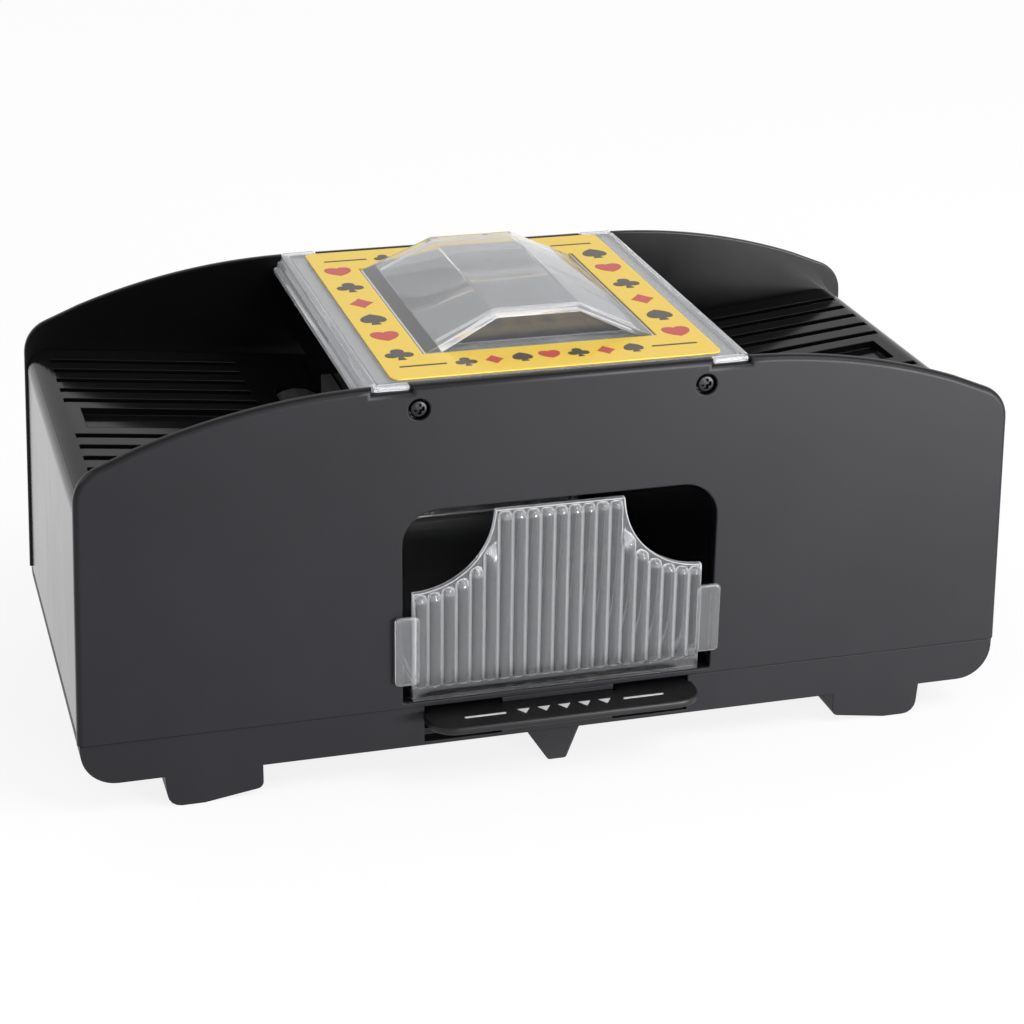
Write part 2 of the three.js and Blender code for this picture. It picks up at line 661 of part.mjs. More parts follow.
// Wall section of the hopper: well wall, sloping floor and end wall.
function hopperSection() {
  const outerEnd = (z) => panelHalf(z) - HOPPER_INSET;
  const top = floorHeight(outerEnd(FLOOR_INNER_Z));
  const under = top - FLOOR_THICK;
  return outline([
    [WELL_HALF, PANEL_BOTTOM],
    [WELL_OUTER, PANEL_BOTTOM],
    [WELL_OUTER, floorHeight(WELL_OUTER) - FLOOR_THICK],
    [outerEnd(under) - HOPPER_WALL, under, HOPPER_ROUND - HOPPER_WALL],
    [outerEnd(PANEL_BOTTOM) - HOPPER_WALL, PANEL_BOTTOM],
    [outerEnd(PANEL_BOTTOM), PANEL_BOTTOM],
    [outerEnd(top), top, HOPPER_ROUND],
    [WELL_HALF, floorHeight(WELL_HALF), 1],
  ]);
}

// Recess in the hopper floor that follows its slope.
function floorRecess(x0, x1, y, half, depth) {
  const shape = outline([
    [x0, floorHeight(x0) - depth], [x1, floorHeight(x1) - depth],
    [x1, floorHeight(x1) + 3], [x0, floorHeight(x0) + 3],
  ]);
  return alongY(shape, y - half, y + half);
}

function floorRecesses() {
  const recesses = [floorRecess(GROOVE_INNER_X, CHANNEL_OUTER_X, 0, CHANNEL_HALF, CHANNEL_DEPTH)];
  for (let i = 0; i < GROOVE_COUNT; i += 1) {
    const y = CHANNEL_HALF + GROOVE_PITCH * (i + 0.75);
    for (const side of [-1, 1]) {
      recesses.push(
        floorRecess(GROOVE_INNER_X, GROOVE_OUTER_X, side * y, GROOVE_WIDTH / 2, GROOVE_DEPTH));
    }
  }
  return recesses;
}

function rollerWindow(y) {
  const half = ROLLER_WIDTH / 2 + 0.8;
  return cylinderY(ROLLER_RADIUS + 0.9, FEED.x, FEED.y, y - half, y + half);
}

function gearPlate() {
  const reach = MOTOR.x + MOTOR_RADIUS + 4;
  const shape = outline([
    [WELL_OUTER - 1, FEED.y - 12],
    [MOTOR.x - MOTOR_RADIUS - 2, MOTOR.y - MOTOR_HALF_FLAT - 3],
    [reach, MOTOR.y - MOTOR_HALF_FLAT - 3, 2],
    [reach, floorHeight(reach) - 1],
    [WELL_OUTER - 1, floorHeight(WELL_OUTER) - 1],
  ]);
  return alongY(shape, PLATE_Y, PLATE_Y + PLATE_THICK);
}

function motorSection(extra) {
  const round = new THREE.Shape();
  round.absarc(0, 0, MOTOR_RADIUS + extra, 0, 2 * Math.PI, false);
  const solid = alongY(round, 0, 1, 10).intersect(
    block(-20, 20, -1, 2, -MOTOR_HALF_FLAT - extra, MOTOR_HALF_FLAT + extra));
  return (y0, y1) => solid.scale([1, y1 - y0, 1]).translate([MOTOR.x, y0, MOTOR.y]);
}

function motorCollar() {
  const y0 = PLATE_Y - 8;
  return cut(motorSection(GAP + 1.6)(y0, PLATE_Y + 0.5), motorSection(GAP)(y0 - 1, PLATE_Y));
}

function farBearingRib() {
  const shape = outline([
    [WELL_OUTER - 1, FEED.y - 7], [FEED.x + 7, FEED.y - 7, 4],
    [FEED.x + 7, floorHeight(FEED.x + 7) - 1], [WELL_OUTER - 1, floorHeight(WELL_OUTER) - 1],
  ]);
  return alongY(shape, -PLATE_Y - PLATE_THICK, -PLATE_Y);
}

function baseScrewBoss(y) {
  const radius = BASE_SCREW.shank + PIN_GAP + BOSS_WALL;
  const top = SEAM + BASE_SCREW.length;
  const wallX = panelHalf(SEAM) - HOPPER_INSET - HOPPER_WALL;
  return join(
    cylinderZ(radius, BASE_SCREW_X, y, PANEL_BOTTOM, top),
    block(BASE_SCREW_X, wallX + 0.8, y - 1, y + 1, PANEL_BOTTOM, top),
  );
}

function hopper(name) {
  const bores = [
    cylinderY(BUSH_RADIUS + PIN_GAP, FEED.x, FEED.y, PLATE_Y - 1, PLATE_Y + PLATE_THICK + 1),
    cylinderY(FEED_SHAFT_RADIUS + PIN_GAP, FEED.x, FEED.y, -PLATE_Y - PLATE_THICK - 1, -PLATE_Y + 1),
    cylinderY(AXLE_RADIUS + PIN_GAP, IDLER.x, IDLER.y, PLATE_Y - 1, PLATE_Y + PLATE_THICK + 1, 12),
    cylinderY(MOTOR_BOSS + GAP, MOTOR.x, MOTOR.y, PLATE_Y - 1, PLATE_Y + PLATE_THICK + 1),
    rollerWindow(ROLLER_Y),
    rollerWindow(-ROLLER_Y),
  ];
  for (const side of [-1, 1]) {
    bores.push(cylinderZ(BASE_SCREW.shank + PIN_GAP, BASE_SCREW_X, side * BASE_SCREW_Y, PANEL_BOTTOM - 1,
      SEAM + BASE_SCREW.length - 2, 12));
  }
  const body = join(
    alongY(hopperSection(), -INNER_Y, INNER_Y, CORNER_STEPS),
    gearPlate(),
    motorCollar(),
    farBearingRib(),
    baseScrewBoss(BASE_SCREW_Y),
    baseScrewBoss(-BASE_SCREW_Y),
  );
  return piece(name, cut(body, ...floorRecesses(), ...bores), 'inner');
}

function gate(name) {
  const bottom = floorHeight(WELL_HALF) + GATE_SLOT;
  const bossRadius = PANEL_SCREW.shank + PIN_GAP + 1.4;
  const shape = outline([
    [WELL_HALF, bottom, 0.6], [WELL_HALF + GATE_WALL, bottom + 1], [WELL_HALF + GATE_WALL, GATE_TOP - 1.6],
    [WELL_HALF + GATE_FLANGE, GATE_TOP - 1.6], [WELL_HALF + GATE_FLANGE, GATE_TOP], [WELL_HALF, GATE_TOP],
  ]);
  let body = alongY(shape, -INNER_Y, INNER_Y);
  for (const side of [-1, 1]) {
    const [y0, y1] = [side * INNER_Y, side * (INNER_Y - PANEL_SCREW.length)].sort((a, b) => a - b);
    body = join(
      body,
      cylinderY(bossRadius, PANEL_SCREW_X, PANEL_SCREW_Z, y0, y1, 16),
      block(PANEL_SCREW_X, WELL_HALF + 0.5, y0, y1, PANEL_SCREW_Z - 1, PANEL_SCREW_Z + 1),
    );
    const bore = PANEL_SCREW.shank + PIN_GAP;
    body = cut(body, cylinderY(bore, PANEL_SCREW_X, PANEL_SCREW_Z, y0 - 1, y1 + 1, 12));
  }
  return piece(name, body, 'inner');
}

function retardPad(name) {
  const bottom = floorHeight(PAD_INNER_X + PAD_THICK) + GATE_SLOT;
  const shape = outline([
    [PAD_INNER_X, bottom, 0.6], [PAD_INNER_X + PAD_THICK, bottom + 1.5, 0.5],
    [PAD_INNER_X + PAD_THICK, bottom + PAD_HEIGHT], [PAD_INNER_X, bottom + PAD_HEIGHT],
  ]);
  return piece(name, alongY(shape, -PAD_HALF, PAD_HALF, 3), 'rubber');
}

// ---------------------------------------------------------------- feed unit, right-hand side

// Spur gear outline with straight-sided teeth, the first tooth centred on the given angle.
function gearShape(teeth, startAngle, bore) {
  const pitchRadius = (MODULE * teeth) / 2;
  const tip = pitchRadius + 0.9 * MODULE;
  const root = pitchRadius - 1.25 * MODULE;
  const step = (2 * Math.PI) / teeth;
  const shape = new THREE.Shape();
  for (let i = 0; i < teeth; i += 1) {
    const middle = startAngle + i * step;
    const corners = [
      [root, -0.62 * TOOTH_SHARE], [tip, -0.27 * TOOTH_SHARE],
      [tip, 0.27 * TOOTH_SHARE], [root, 0.62 * TOOTH_SHARE],
    ];
    corners.forEach(([radius, share], k) => {
      const angle = middle + share * step;
      const point = [radius * Math.cos(angle), radius * Math.sin(angle)];
      if (i === 0 && k === 0) shape.moveTo(...point);
      else shape.lineTo(...point);
    });
  }
  const hole = new THREE.Path();
  hole.absarc(0, 0, bore, 0, 2 * Math.PI, true);
  shape.holes.push(hole);
  return shape;
}

// Gear lying in the y direction, its first tooth at startAngle in the (x, z) plane.
function gear(teeth, startAngle, bore, y0, y1 = y0 + GEAR_WIDTH) {
  return alongY(gearShape(teeth, startAngle, bore), y0, y1, 5);
}

function onAxis(mesh, axis) {
  mesh.position.set(axis.x, 0, axis.y);
  return mesh;
}

function angleBetween(from, to) {
  return Math.atan2(to.y - from.y, to.x - from.x);
}

// Small rubber tyre with a hub bore; the edges are eased by one ring.
function feedRoller(name, y) {
  const half = ROLLER_WIDTH / 2;
  const bore = FEED_SHAFT_RADIUS + PIN_GAP;
  const ease = 0.6;
  const profile = [
    [bore, -half], [ROLLER_RADIUS - ease, -half], [ROLLER_RADIUS, -half + ease],
    [ROLLER_RADIUS, half - ease], [ROLLER_RADIUS - ease, half], [bore, half], [bore, -half],
  ].map(([r, a]) => new THREE.Vector2(r, a));
  const roller = onAxis(piece(name, lathe(profile, 20), 'rubber'), FEED);
  roller.position.y = y;
  return roller;
}

function lathe(profile, sides) {
  return geometryOf(solidOf(new THREE.LatheGeometry(profile, sides)));
}

function feedShaft(name) {
  const y0 = -PLATE_Y - PLATE_THICK - 1;
  const y1 = SMALL_GEAR_Y + GEAR_WIDTH;
  return onAxis(piece(name, cylinderY(FEED_SHAFT_RADIUS, 0, 0, y0, y1, 14), 'steel'), FEED);
}

function shaftBush(name) {
  const bore = FEED_SHAFT_RADIUS + PIN_GAP;
  const y0 = PLATE_Y - 1.2;
  const y1 = PLATE_Y + PLATE_THICK;
  const profile = [
    [bore, y0], [BUSH_RADIUS + 1, y0], [BUSH_RADIUS + 1, PLATE_Y - GAP], [BUSH_RADIUS, PLATE_Y - GAP],
    [BUSH_RADIUS, y1], [bore, y1], [bore, y0],
  ].map(([r, a]) => new THREE.Vector2(r, a));
  return onAxis(piece(name, lathe(profile, 16), 'brass'), FEED);
}

function feedGear(name) {
  const toIdler = angleBetween(FEED, IDLER);
  const wheel = gear(FEED_TEETH, toIdler, FEED_SHAFT_RADIUS + PIN_GAP, SMALL_GEAR_Y);
  return onAxis(piece(name, wheel, 'gear'), FEED);
}

// Compound gear: the small wheel meets the feed gear, the large one the motor pinion.
function idlerGear(name) {
  const bore = AXLE_RADIUS + PIN_GAP;
  const toFeed = angleBetween(IDLER, FEED) + Math.PI / IDLER_SMALL_TEETH;
  const toMotor = angleBetween(IDLER, MOTOR);
  const small = gear(IDLER_SMALL_TEETH, toFeed, bore, SMALL_GEAR_Y, LARGE_GEAR_Y);
  const large = gear(IDLER_LARGE_TEETH, toMotor, bore, LARGE_GEAR_Y);
  return onAxis(piece(name, join(small, large), 'gear'), IDLER);
}

function idlerAxle(name) {
  const rod = cylinderY(AXLE_RADIUS, 0, 0, PLATE_Y, LARGE_GEAR_Y + GEAR_WIDTH + 0.8, 12);
  return onAxis(piece(name, rod, 'steel'), IDLER);
}

function motorPinion(name) {
  const toIdler = angleBetween(MOTOR, IDLER) + Math.PI / PINION_TEETH;
  const wheel = gear(PINION_TEETH, toIdler, MOTOR_SHAFT_RADIUS + 0.1, LARGE_GEAR_Y);
  return onAxis(piece(name, wheel, 'gear'), MOTOR);
}

function motorShaft(name) {
  const rod = cylinderY(MOTOR_SHAFT_RADIUS, 0, 0, PLATE_Y - 3, LARGE_GEAR_Y + GEAR_WIDTH + 0.4, 12);
  return onAxis(piece(name, rod, 'steel'), MOTOR);
}

function motor(name) {
  const tabs = [-1, 1].map((side) => {
    const x = MOTOR.x + side * MOTOR_TAB;
    const y = MOTOR_REAR - MOTOR_TAB_LENGTH;
    return block(x - 0.5, x + 0.5, y, MOTOR_REAR + 0.5, MOTOR.y - 1.2, MOTOR.y + 1.2);
  });
  const body = join(
    motorSection(0)(MOTOR_REAR, MOTOR_FRONT),
    cylinderY(MOTOR_BOSS, MOTOR.x, MOTOR.y, MOTOR_FRONT - 0.5, PLATE_Y + 1.4),
    cylinderY(MOTOR_BOSS, MOTOR.x, MOTOR.y, MOTOR_REAR - 1.5, MOTOR_REAR + 0.5),
    ...tabs,
  );
  const boreRadius = MOTOR_SHAFT_RADIUS + PIN_GAP;
  const bore = cylinderY(boreRadius, MOTOR.x, MOTOR.y, PLATE_Y - 3 - PIN_GAP, PLATE_Y + 2, 12);
  return piece(name, cut(body, bore), 'steel');
}

// Everything that repeats on both sides, built for +X.
function halfMachine(side) {
  const group = new THREE.Group();
  group.add(
    hopper(`${side}_hopper`),
    gate(`${side}_gate`),
    retardPad(`${side}_retard_pad`),
    motor(`${side}_motor`),
    motorShaft(`${side}_motor_shaft`),
    motorPinion(`${side}_motor_pinion`),
    idlerGear(`${side}_idler_gear`),
    idlerAxle(`${side}_idler_axle`),
    feedGear(`${side}_feed_gear`),
    feedShaft(`${side}_feed_shaft`),
    shaftBush(`${side}_shaft_bush`),
    feedRoller(`${side}_feed_roller_inner`, -ROLLER_Y),
    feedRoller(`${side}_feed_roller_outer`, ROLLER_Y),
  );
  return group;
}

// ---------------------------------------------------------------- top cover

function trapezoid(bottomHalf, bottom, topHalf, top) {
  return outline([[-bottomHalf, bottom], [bottomHalf, bottom], [topHalf, top], [-topHalf, top]]);
}

function hood() {
  const slope = (HOOD_HALF_X - RIDGE_HALF_X) / (HOOD_TOP - COVER_TOP);
  const inset = COVER_WALL * Math.hypot(1, slope);
  const innerTop = HOOD_TOP - COVER_WALL;
  const innerTopHalf = RIDGE_HALF_X + slope * COVER_WALL - inset;
  const innerHalf = innerTopHalf + slope * (innerTop - COVER_BOTTOM);
  const outer = alongY(trapezoid(HOOD_HALF_X, COVER_TOP, RIDGE_HALF_X, HOOD_TOP), -DEPTH, DEPTH).intersect(
    alongX(trapezoid(HOOD_HALF_Y, COVER_TOP, RIDGE_HALF_Y, HOOD_TOP), -LENGTH, LENGTH));
  const tunnel = alongY(trapezoid(innerHalf, COVER_BOTTOM, innerTopHalf, innerTop), -DEPTH, DEPTH);
  const glassOuter = RIDGE_HALF_Y - HOOD_RECESS;
  const glass = [-1, 1].map((side) => {
    const [y0, y1] = [side * glassOuter, side * (glassOuter - COVER_WALL)].sort((a, b) => a - b);
    const face = trapezoid(innerHalf + 0.4, COVER_BOTTOM, innerTopHalf + 0.4, innerTop + 0.4);
    return alongY(face, y0, y1);
  });
  const mouth = tunnel.intersect(block(-LENGTH, LENGTH, -glassOuter, glassOuter, 0, COVER_TOP + 0.01));
  return { shell: cut(outer, tunnel), glass, mouth };
}

function skirt() {
  const x = COVER_HALF_X;
  const shape = outline([
    [x - 1.2, COVER_TOP], [x, COVER_TOP, 0.4], [x + 0.5, COVER_TOP - 1.2], [x + 1.1, COVER_TOP - 1.4],
    [x + 1.4, COVER_TOP - 2.6], [x + SKIRT_OUT - 0.2, COVER_TOP - 2.8], [x + SKIRT_OUT, SKIRT_BOTTOM],
    [x + SKIRT_OUT - 1.4, SKIRT_BOTTOM], [x - 0.2, COVER_BOTTOM], [x - 1.2, COVER_BOTTOM],
  ]);
  return alongY(shape, -COVER_HALF_Y, COVER_HALF_Y, 3);
}

function coverTab(x0, x1, front) {
  const tip = DEPTH / 2 - 0.6;
  const [y0, y1] = front ? [-tip, -COVER_HALF_Y + 1] : [COVER_HALF_Y - 1, tip];
  return block(x0, x1, y0, y1, PANEL_TOP - NOTCH_DEPTH + GAP, COVER_TOP);
}

function topCover() {
  const { shell, glass, mouth } = hood();
  const x = COVER_HALF_X - 1;
  const plate = block(-x, x, -COVER_HALF_Y, COVER_HALF_Y, COVER_BOTTOM, COVER_TOP);
  const sideSkirt = skirt();
  const tabs = [];
  for (const front of [true, false]) {
    tabs.push(coverTab(NOTCH_INNER + GAP, NOTCH_OUTER - GAP, front));
    tabs.push(coverTab(-NOTCH_OUTER + GAP, -NOTCH_INNER - GAP, front));
  }
  const body = join(cut(plate, mouth), shell, ...glass, sideSkirt, sideSkirt.mirror([1, 0, 0]), ...tabs);
  return piece('top_cover', body, 'clear');
}

function coverLabel() {
  const frame = rectangle(-LABEL_HALF_X, LABEL_HALF_X, -LABEL_HALF_Y, LABEL_HALF_Y, 2);
  const innerX = HOOD_HALF_X + LABEL_MARGIN;
  const innerY = HOOD_HALF_Y + LABEL_MARGIN;
  const sheet = cut(
    alongZ(frame, COVER_TOP, COVER_TOP + LABEL_THICK, 4),
    block(-innerX, innerX, -innerY, innerY, COVER_TOP - 1, COVER_TOP + 1),
  );
  return piece('cover_label', sheet, 'label');
}

// ---------------------------------------------------------------- batteries

function batteryDoor() {
  const plate = block(-BAY_OUTER_X + GAP, -BAY_INNER_X - GAP, -BAY_HALF_Y + GAP, BAY_HALF_Y - GAP,
    BASE_BOTTOM, DOOR_TOP);
  const grip = [0, 1, 2].map((i) => {
    const x = -BAY_OUTER_X + 5 + 2.4 * i;
    return block(x, x + 1, -10, 10, BASE_BOTTOM - 1, BASE_BOTTOM + 0.6);
  });
  return piece('battery_door', cut(plate, ...grip), 'shell');
}

// Cell with its nub at the +X end; every second one lies the other way round.
function battery(index) {
  const ease = 0.5;
  const profile = [
    [0, -CELL_HALF], [CELL_RADIUS - ease, -CELL_HALF], [CELL_RADIUS, -CELL_HALF + ease],
    [CELL_RADIUS, CELL_HALF - CELL_NUB - ease], [CELL_RADIUS - ease, CELL_HALF - CELL_NUB],
    [2.7, CELL_HALF - CELL_NUB], [2.7, CELL_HALF], [0, CELL_HALF],
  ].map(([r, a]) => new THREE.Vector2(r, a));
  const cell = piece(`battery_${index + 1}`, lathe(profile, 16), 'cell');
  cell.position.set(CELL_MIDDLE_X, (index - (CELL_COUNT - 1) / 2) * CELL_PITCH, CELL_Z);
  cell.rotation.z = index % 2 === 0 ? -Math.PI / 2 : Math.PI / 2;
  return cell;
}

// Contact plate at one end of the bay, across the cells from first to last.
function batteryContact(name, end, first, last) {
  const middle = (CELL_COUNT - 1) / 2;
  const y0 = (first - middle) * CELL_PITCH - 4;
  const y1 = (last - middle) * CELL_PITCH + 4;
  const x = end === 'inner' ? -BAY_INNER_X - GAP - CONTACT_THICK : -BAY_OUTER_X + GAP;
  const dimpleReach = CONTACT_ROOM - GAP - CONTACT_THICK - GAP;
  let body = block(x, x + CONTACT_THICK, y0, y1, CELL_Z - 4, CELL_Z + 4);
  for (let i = first; i <= last; i += 1) {
    const y = (i - middle) * CELL_PITCH;
    const inward = [x - dimpleReach, x + 0.2];
    const outward = [x + 0.2, x + CONTACT_THICK + dimpleReach];
    const [x0, x1] = end === 'inner' ? inward : outward;
    body = join(body, cylinderX(2, y, CELL_Z, x0, x1, 12));
  }
  return piece(name, body, 'steel');
}

function batteryPieces() {
  const pieces = [batteryDoor()];
  for (let i = 0; i < CELL_COUNT; i += 1) pieces.push(battery(i));
  pieces.push(
    batteryContact('battery_terminal_plus', 'inner', 0, 0),
    batteryContact('battery_bridge_inner', 'inner', 1, 2),
    batteryContact('battery_terminal_minus', 'inner', 3, 3),
    batteryContact('battery_bridge_outer_front', 'outer', 0, 1),
    batteryContact('battery_bridge_outer_rear', 'outer', 2, 3),
  );
  return pieces;
}

// ---------------------------------------------------------------- screws

// Screw standing along its own +Y: the head's top at 0, the tip at -length.
function screwGeometry({ head, headHeight, shank, length }) {
  const profile = [
    [0, 0], [head - 0.3, 0], [head, -0.3], [head, -headHeight], [shank, -headHeight],
    [shank, -length + 1], [0, -length],
  ].map(([r, a]) => new THREE.Vector2(r, a)).reverse();
  return lathe(profile, 10);
}

function panelScrews() {
  const screws = [];
  for (const [row, sign, turn] of [['front', -1, Math.PI], ['rear', 1, 0]]) {
    for (const [column, x] of [['left', -PANEL_SCREW_X], ['right', PANEL_SCREW_X]]) {
      const screw = piece(`panel_screw_${row}_${column}`, screwGeometry(PANEL_SCREW), 'blackSteel');
      screw.position.set(x, sign * (DEPTH / 2 - GAP), PANEL_SCREW_Z);
      screw.rotation.z = turn;
      screws.push(screw);
    }
  }
  return screws;
}

function baseScrews() {
  const screws = [];
  for (const [row, y] of [['front', -BASE_SCREW_Y], ['rear', BASE_SCREW_Y]]) {
    for (const [column, x] of [['left', -BASE_SCREW_X], ['right', BASE_SCREW_X]]) {
      const screw = piece(`base_screw_${row}_${column}`, screwGeometry(BASE_SCREW), 'steel');
      screw.position.set(x, y, BASE_BOTTOM + 0.2);
      screw.rotation.x = -Math.PI / 2;
      screws.push(screw);
    }
  }
  return screws;
}

// ---------------------------------------------------------------- leads

function lead(name, points, finish) {
  const curve = new THREE.CatmullRomCurve3(points.map((p) => new THREE.Vector3(...p)), false, 'centripetal');
  const steps = Math.round(curve.getLength() / 3.6);
  return piece(name, wire(curve, LEAD_RADIUS, steps, 3), finish);
}

// Front stretch, the same on both sides: from a rail's opening past the lever to its contact.
function frontStretch(side) {
  return [
    [WELL_HALF, -3.7], [30.6, -14.5], [30.2, -22], [25, -25.6], [13, -24],
  ].map(([x, y]) => [side * x, y, LEAD_FLOOR]).concat([
    [side * (CONTACT_X + 0.6), CONTACT_BACK + GAP + 2, POST_TOP + 0.7],
    [side * CONTACT_X, CONTACT_BACK + GAP + 0.05, POST_TOP + 0.85],
  ]);
}

function leads() {
  const bayX = -BAY_INNER_X - GAP / 4;
  const [, ...leftFront] = frontStretch(-1);
  const [, ...rightFront] = frontStretch(1);
  const supply = [
    [bayX, -TERMINAL_Y, LEAD_FLOOR + 2], [-39, -21, LEAD_FLOOR + 0.8], [-37.4, -13.5, LEAD_FLOOR],
    [-WELL_HALF, -LEAD_WAY_Y, LEAD_FLOOR], ...leftFront,
  ];
  const toMotor = [
    ...rightFront.reverse(), [30.2, -5, LEAD_FLOOR], [31, 8, LEAD_FLOOR], [WELL_HALF, LEAD_WAY_Y, LEAD_FLOOR],
    [39, 12, LEAD_FLOOR + 0.2], [47, 8, 16], [MOTOR.x - MOTOR_TAB, 1, 30],
    [MOTOR.x - MOTOR_TAB, MOTOR_TAIL - 3, MOTOR.y - 3], [MOTOR.x - MOTOR_TAB, MOTOR_TAIL, MOTOR.y],
  ];
  const back = [
    [-MOTOR.x - MOTOR_TAB, -MOTOR_TAIL, MOTOR.y], [-MOTOR.x - MOTOR_TAB, -MOTOR_TAIL + 3, MOTOR.y - 3],
    [-56, 6, 34], [-46, 12, 28.5], [-39, 16, 26], [-38.2, 19, 20], [-38.4, 21.5, 14],
    [-39.6, TERMINAL_Y, LEAD_FLOOR + 2.1], [bayX, TERMINAL_Y, LEAD_FLOOR + 2],
  ];
  return [
    lead('supply_lead', supply, 'redLead'),
    lead('motor_lead', toMotor, 'redLead'),
    lead('return_lead', back, 'blackLead'),
  ];
}

// ---------------------------------------------------------------- the machine

const shuffler = new THREE.Group();

const rightHalf = halfMachine('right');
const leftHalf = halfMachine('left');
leftHalf.rotation.z = Math.PI;

const rearPanel = panel('rear_panel', false);
rearPanel.rotation.z = Math.PI;

shuffler.add(
  baseTray(),
  panel('front_panel', true),
  rearPanel,
  rightHalf,
  leftHalf,
  drawerDeck(),
  cardDrawer(),
  operatingLever(),
  pivotPin(),
  returnSpring(),
  fixedContact('supply_contact', -1),
  fixedContact('motor_contact', 1),
  shortingBar(),
  topCover(),
  coverLabel(),
  ...batteryPieces(),
  ...panelScrews(),
  ...baseScrews(),
  ...leads(),
);

// The lever pad reaches past the panel, so the body stands this far behind the origin.
shuffler.position.y = PAD_REACH / 2;

export default shuffler;
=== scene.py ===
"""Looks of the automatic card shuffler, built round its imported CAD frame.

Lengths are millimetres in the functions that make shapes, and metres in Blender.
"""

import math

import bmesh
import bpy
import numpy as np
from mathutils import Matrix, Vector
from mathutils.geometry import delaunay_2d_cdt


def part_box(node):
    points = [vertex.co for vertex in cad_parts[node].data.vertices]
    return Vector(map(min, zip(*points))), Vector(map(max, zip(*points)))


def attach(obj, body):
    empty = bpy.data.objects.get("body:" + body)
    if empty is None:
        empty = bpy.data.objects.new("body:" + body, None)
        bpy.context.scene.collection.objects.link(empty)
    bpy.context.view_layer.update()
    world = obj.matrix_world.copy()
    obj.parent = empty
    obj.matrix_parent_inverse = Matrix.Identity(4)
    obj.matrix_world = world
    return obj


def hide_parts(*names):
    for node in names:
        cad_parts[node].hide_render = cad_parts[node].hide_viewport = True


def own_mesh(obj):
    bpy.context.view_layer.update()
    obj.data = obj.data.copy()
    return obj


bl_info = {
    "name": "Card shuffler",
    "version": (1, 0, 0),
    "blender": (4, 5, 0),
    "location": "View3D > Sidebar > Shuffler",
    "description": "Builds the visible pieces and finishes of a battery card shuffler",
    "category": "Object",
}

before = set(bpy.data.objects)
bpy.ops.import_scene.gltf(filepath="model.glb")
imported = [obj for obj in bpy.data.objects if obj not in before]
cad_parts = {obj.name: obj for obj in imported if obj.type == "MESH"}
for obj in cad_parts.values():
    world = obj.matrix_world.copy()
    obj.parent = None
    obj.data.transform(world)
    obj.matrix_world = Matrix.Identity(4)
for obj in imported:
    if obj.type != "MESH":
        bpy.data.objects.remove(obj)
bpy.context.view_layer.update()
MM = 0.001


def span(node):
    """Lowest and highest corner of a CAD node, in millimetres."""
    low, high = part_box(node)
    return np.array(low) / MM, np.array(high) / MM


# ------------ places from the frame, and sizes in millimetres

PANEL_LOW, PANEL_HIGH = span("front_panel")
COVER_LOW, COVER_HIGH = span("top_cover")
DRAWER_LOW, DRAWER_HIGH = span("card_drawer")
LEVER_LOW, LEVER_HIGH = span("operating_lever")
SPRING_LOW, SPRING_HIGH = span("lever_return_spring")
LABEL_LOW, LABEL_HIGH = span("cover_label")
GATE_LOW, GATE_HIGH = span("right_gate")

FRONT = PANEL_LOW[1]
REAR = span("rear_panel")[1][1]
MIDDLE_Y = (FRONT + REAR) / 2
HALF_LENGTH = PANEL_HIGH[0]
SEAM = PANEL_LOW[2]
PANEL_TOP = PANEL_HIGH[2]

# Panel: a notch is (inner x, outer x, depth), the window (half width, bottom, top, corner)
DRAFT = 0.038
ARCH_RADIUS = 146.0
ARCH_START = 38.0
PANEL_CORNER = 8.0
PANEL_BACK_EASE = 0.3
NOTCH = (32.0, 40.0, 1.3)
WINDOW = (34.0, 17.8, 61.1, 7.5)
SCREW_AT = (30.5, 83.2)
SCREW_RECESS = 2.15
SKIN = 0.3

# Drawer. The ribbed front is narrower and lower than its CAD solid, and set to the left of its middle.
RIB_COUNT = 21
RIB_FOOT = 3.6
RIB_COLUMNS = 14
RIB_TOP_GAP = 0.45
DRAWER_HALF = 32.15
RIBBED_HALF = DRAWER_HALF - 0.55
RIBBED_SHIFT = -0.35
SHOULDER_Z = 43.7
CREST_HALF = 14.3
CREST_DROP = 1.1
COVE_BAND = 9.0
COVE_ROWS = 46
LOWER_ROWS = 24
DRAWER_PLATE = 1.3
DRAWER_FACE = FRONT + 0.1
TAB = (30.5, 35.65, 22.5, 38.0)

# Cover
COVER_PLATE_HALF = 40.0
COVER_LENGTH_Y = GATE_HIGH[1] - GATE_LOW[1] - 0.4
COVER_PLATE = (86.4, 88.4)
HOOD_BASE = (25.0, 29.7)
HOOD_RIDGE = (9.3, 27.3)
HOOD_WALL = 1.6
GLASS_SETBACK = 1.4
TAB_SEAT_Z = PANEL_TOP - NOTCH[2] + 0.3

# Label
SUIT_ROWS = (28.4, -29.2)
BAND_HALF = 18
BAND_SHARE = 0.75

# Lever
LEVER_THICK = 1.6
BARREL_Z = 12.6
SPRING_WIRE = 0.35
SPRING_TURNS = 3
SPRING_FLAT_AT = SPRING_LOW[2] - 0.65

# Screws: height of the head and radius of the shank; a base screw's cross is larger by a share
PANEL_SCREW = (0.9, 1.0)
BASE_SCREW = (1.6, 1.4)
BASE_CROSS = 1.5

# Camera: place in metres; yaw, tilt and roll in degrees; lens and sensor in millimetres
CAMERA_PLACE = (-0.14253, -0.49188, 0.25766)
CAMERA_TURN = (16.33, 23.0, 0.811)
CAMERA_LENS = 86.98
CAMERA_SENSOR = 36.0

# Light from all round, and what each kind of ray sees of it
SURROUND = 0.6
SURROUND_SEEN = (("Is Camera Ray", 1.0), ("Is Glossy Ray", 0.68), ("Is Transmission Ray", 1.0))


# ------------ shapes on grids

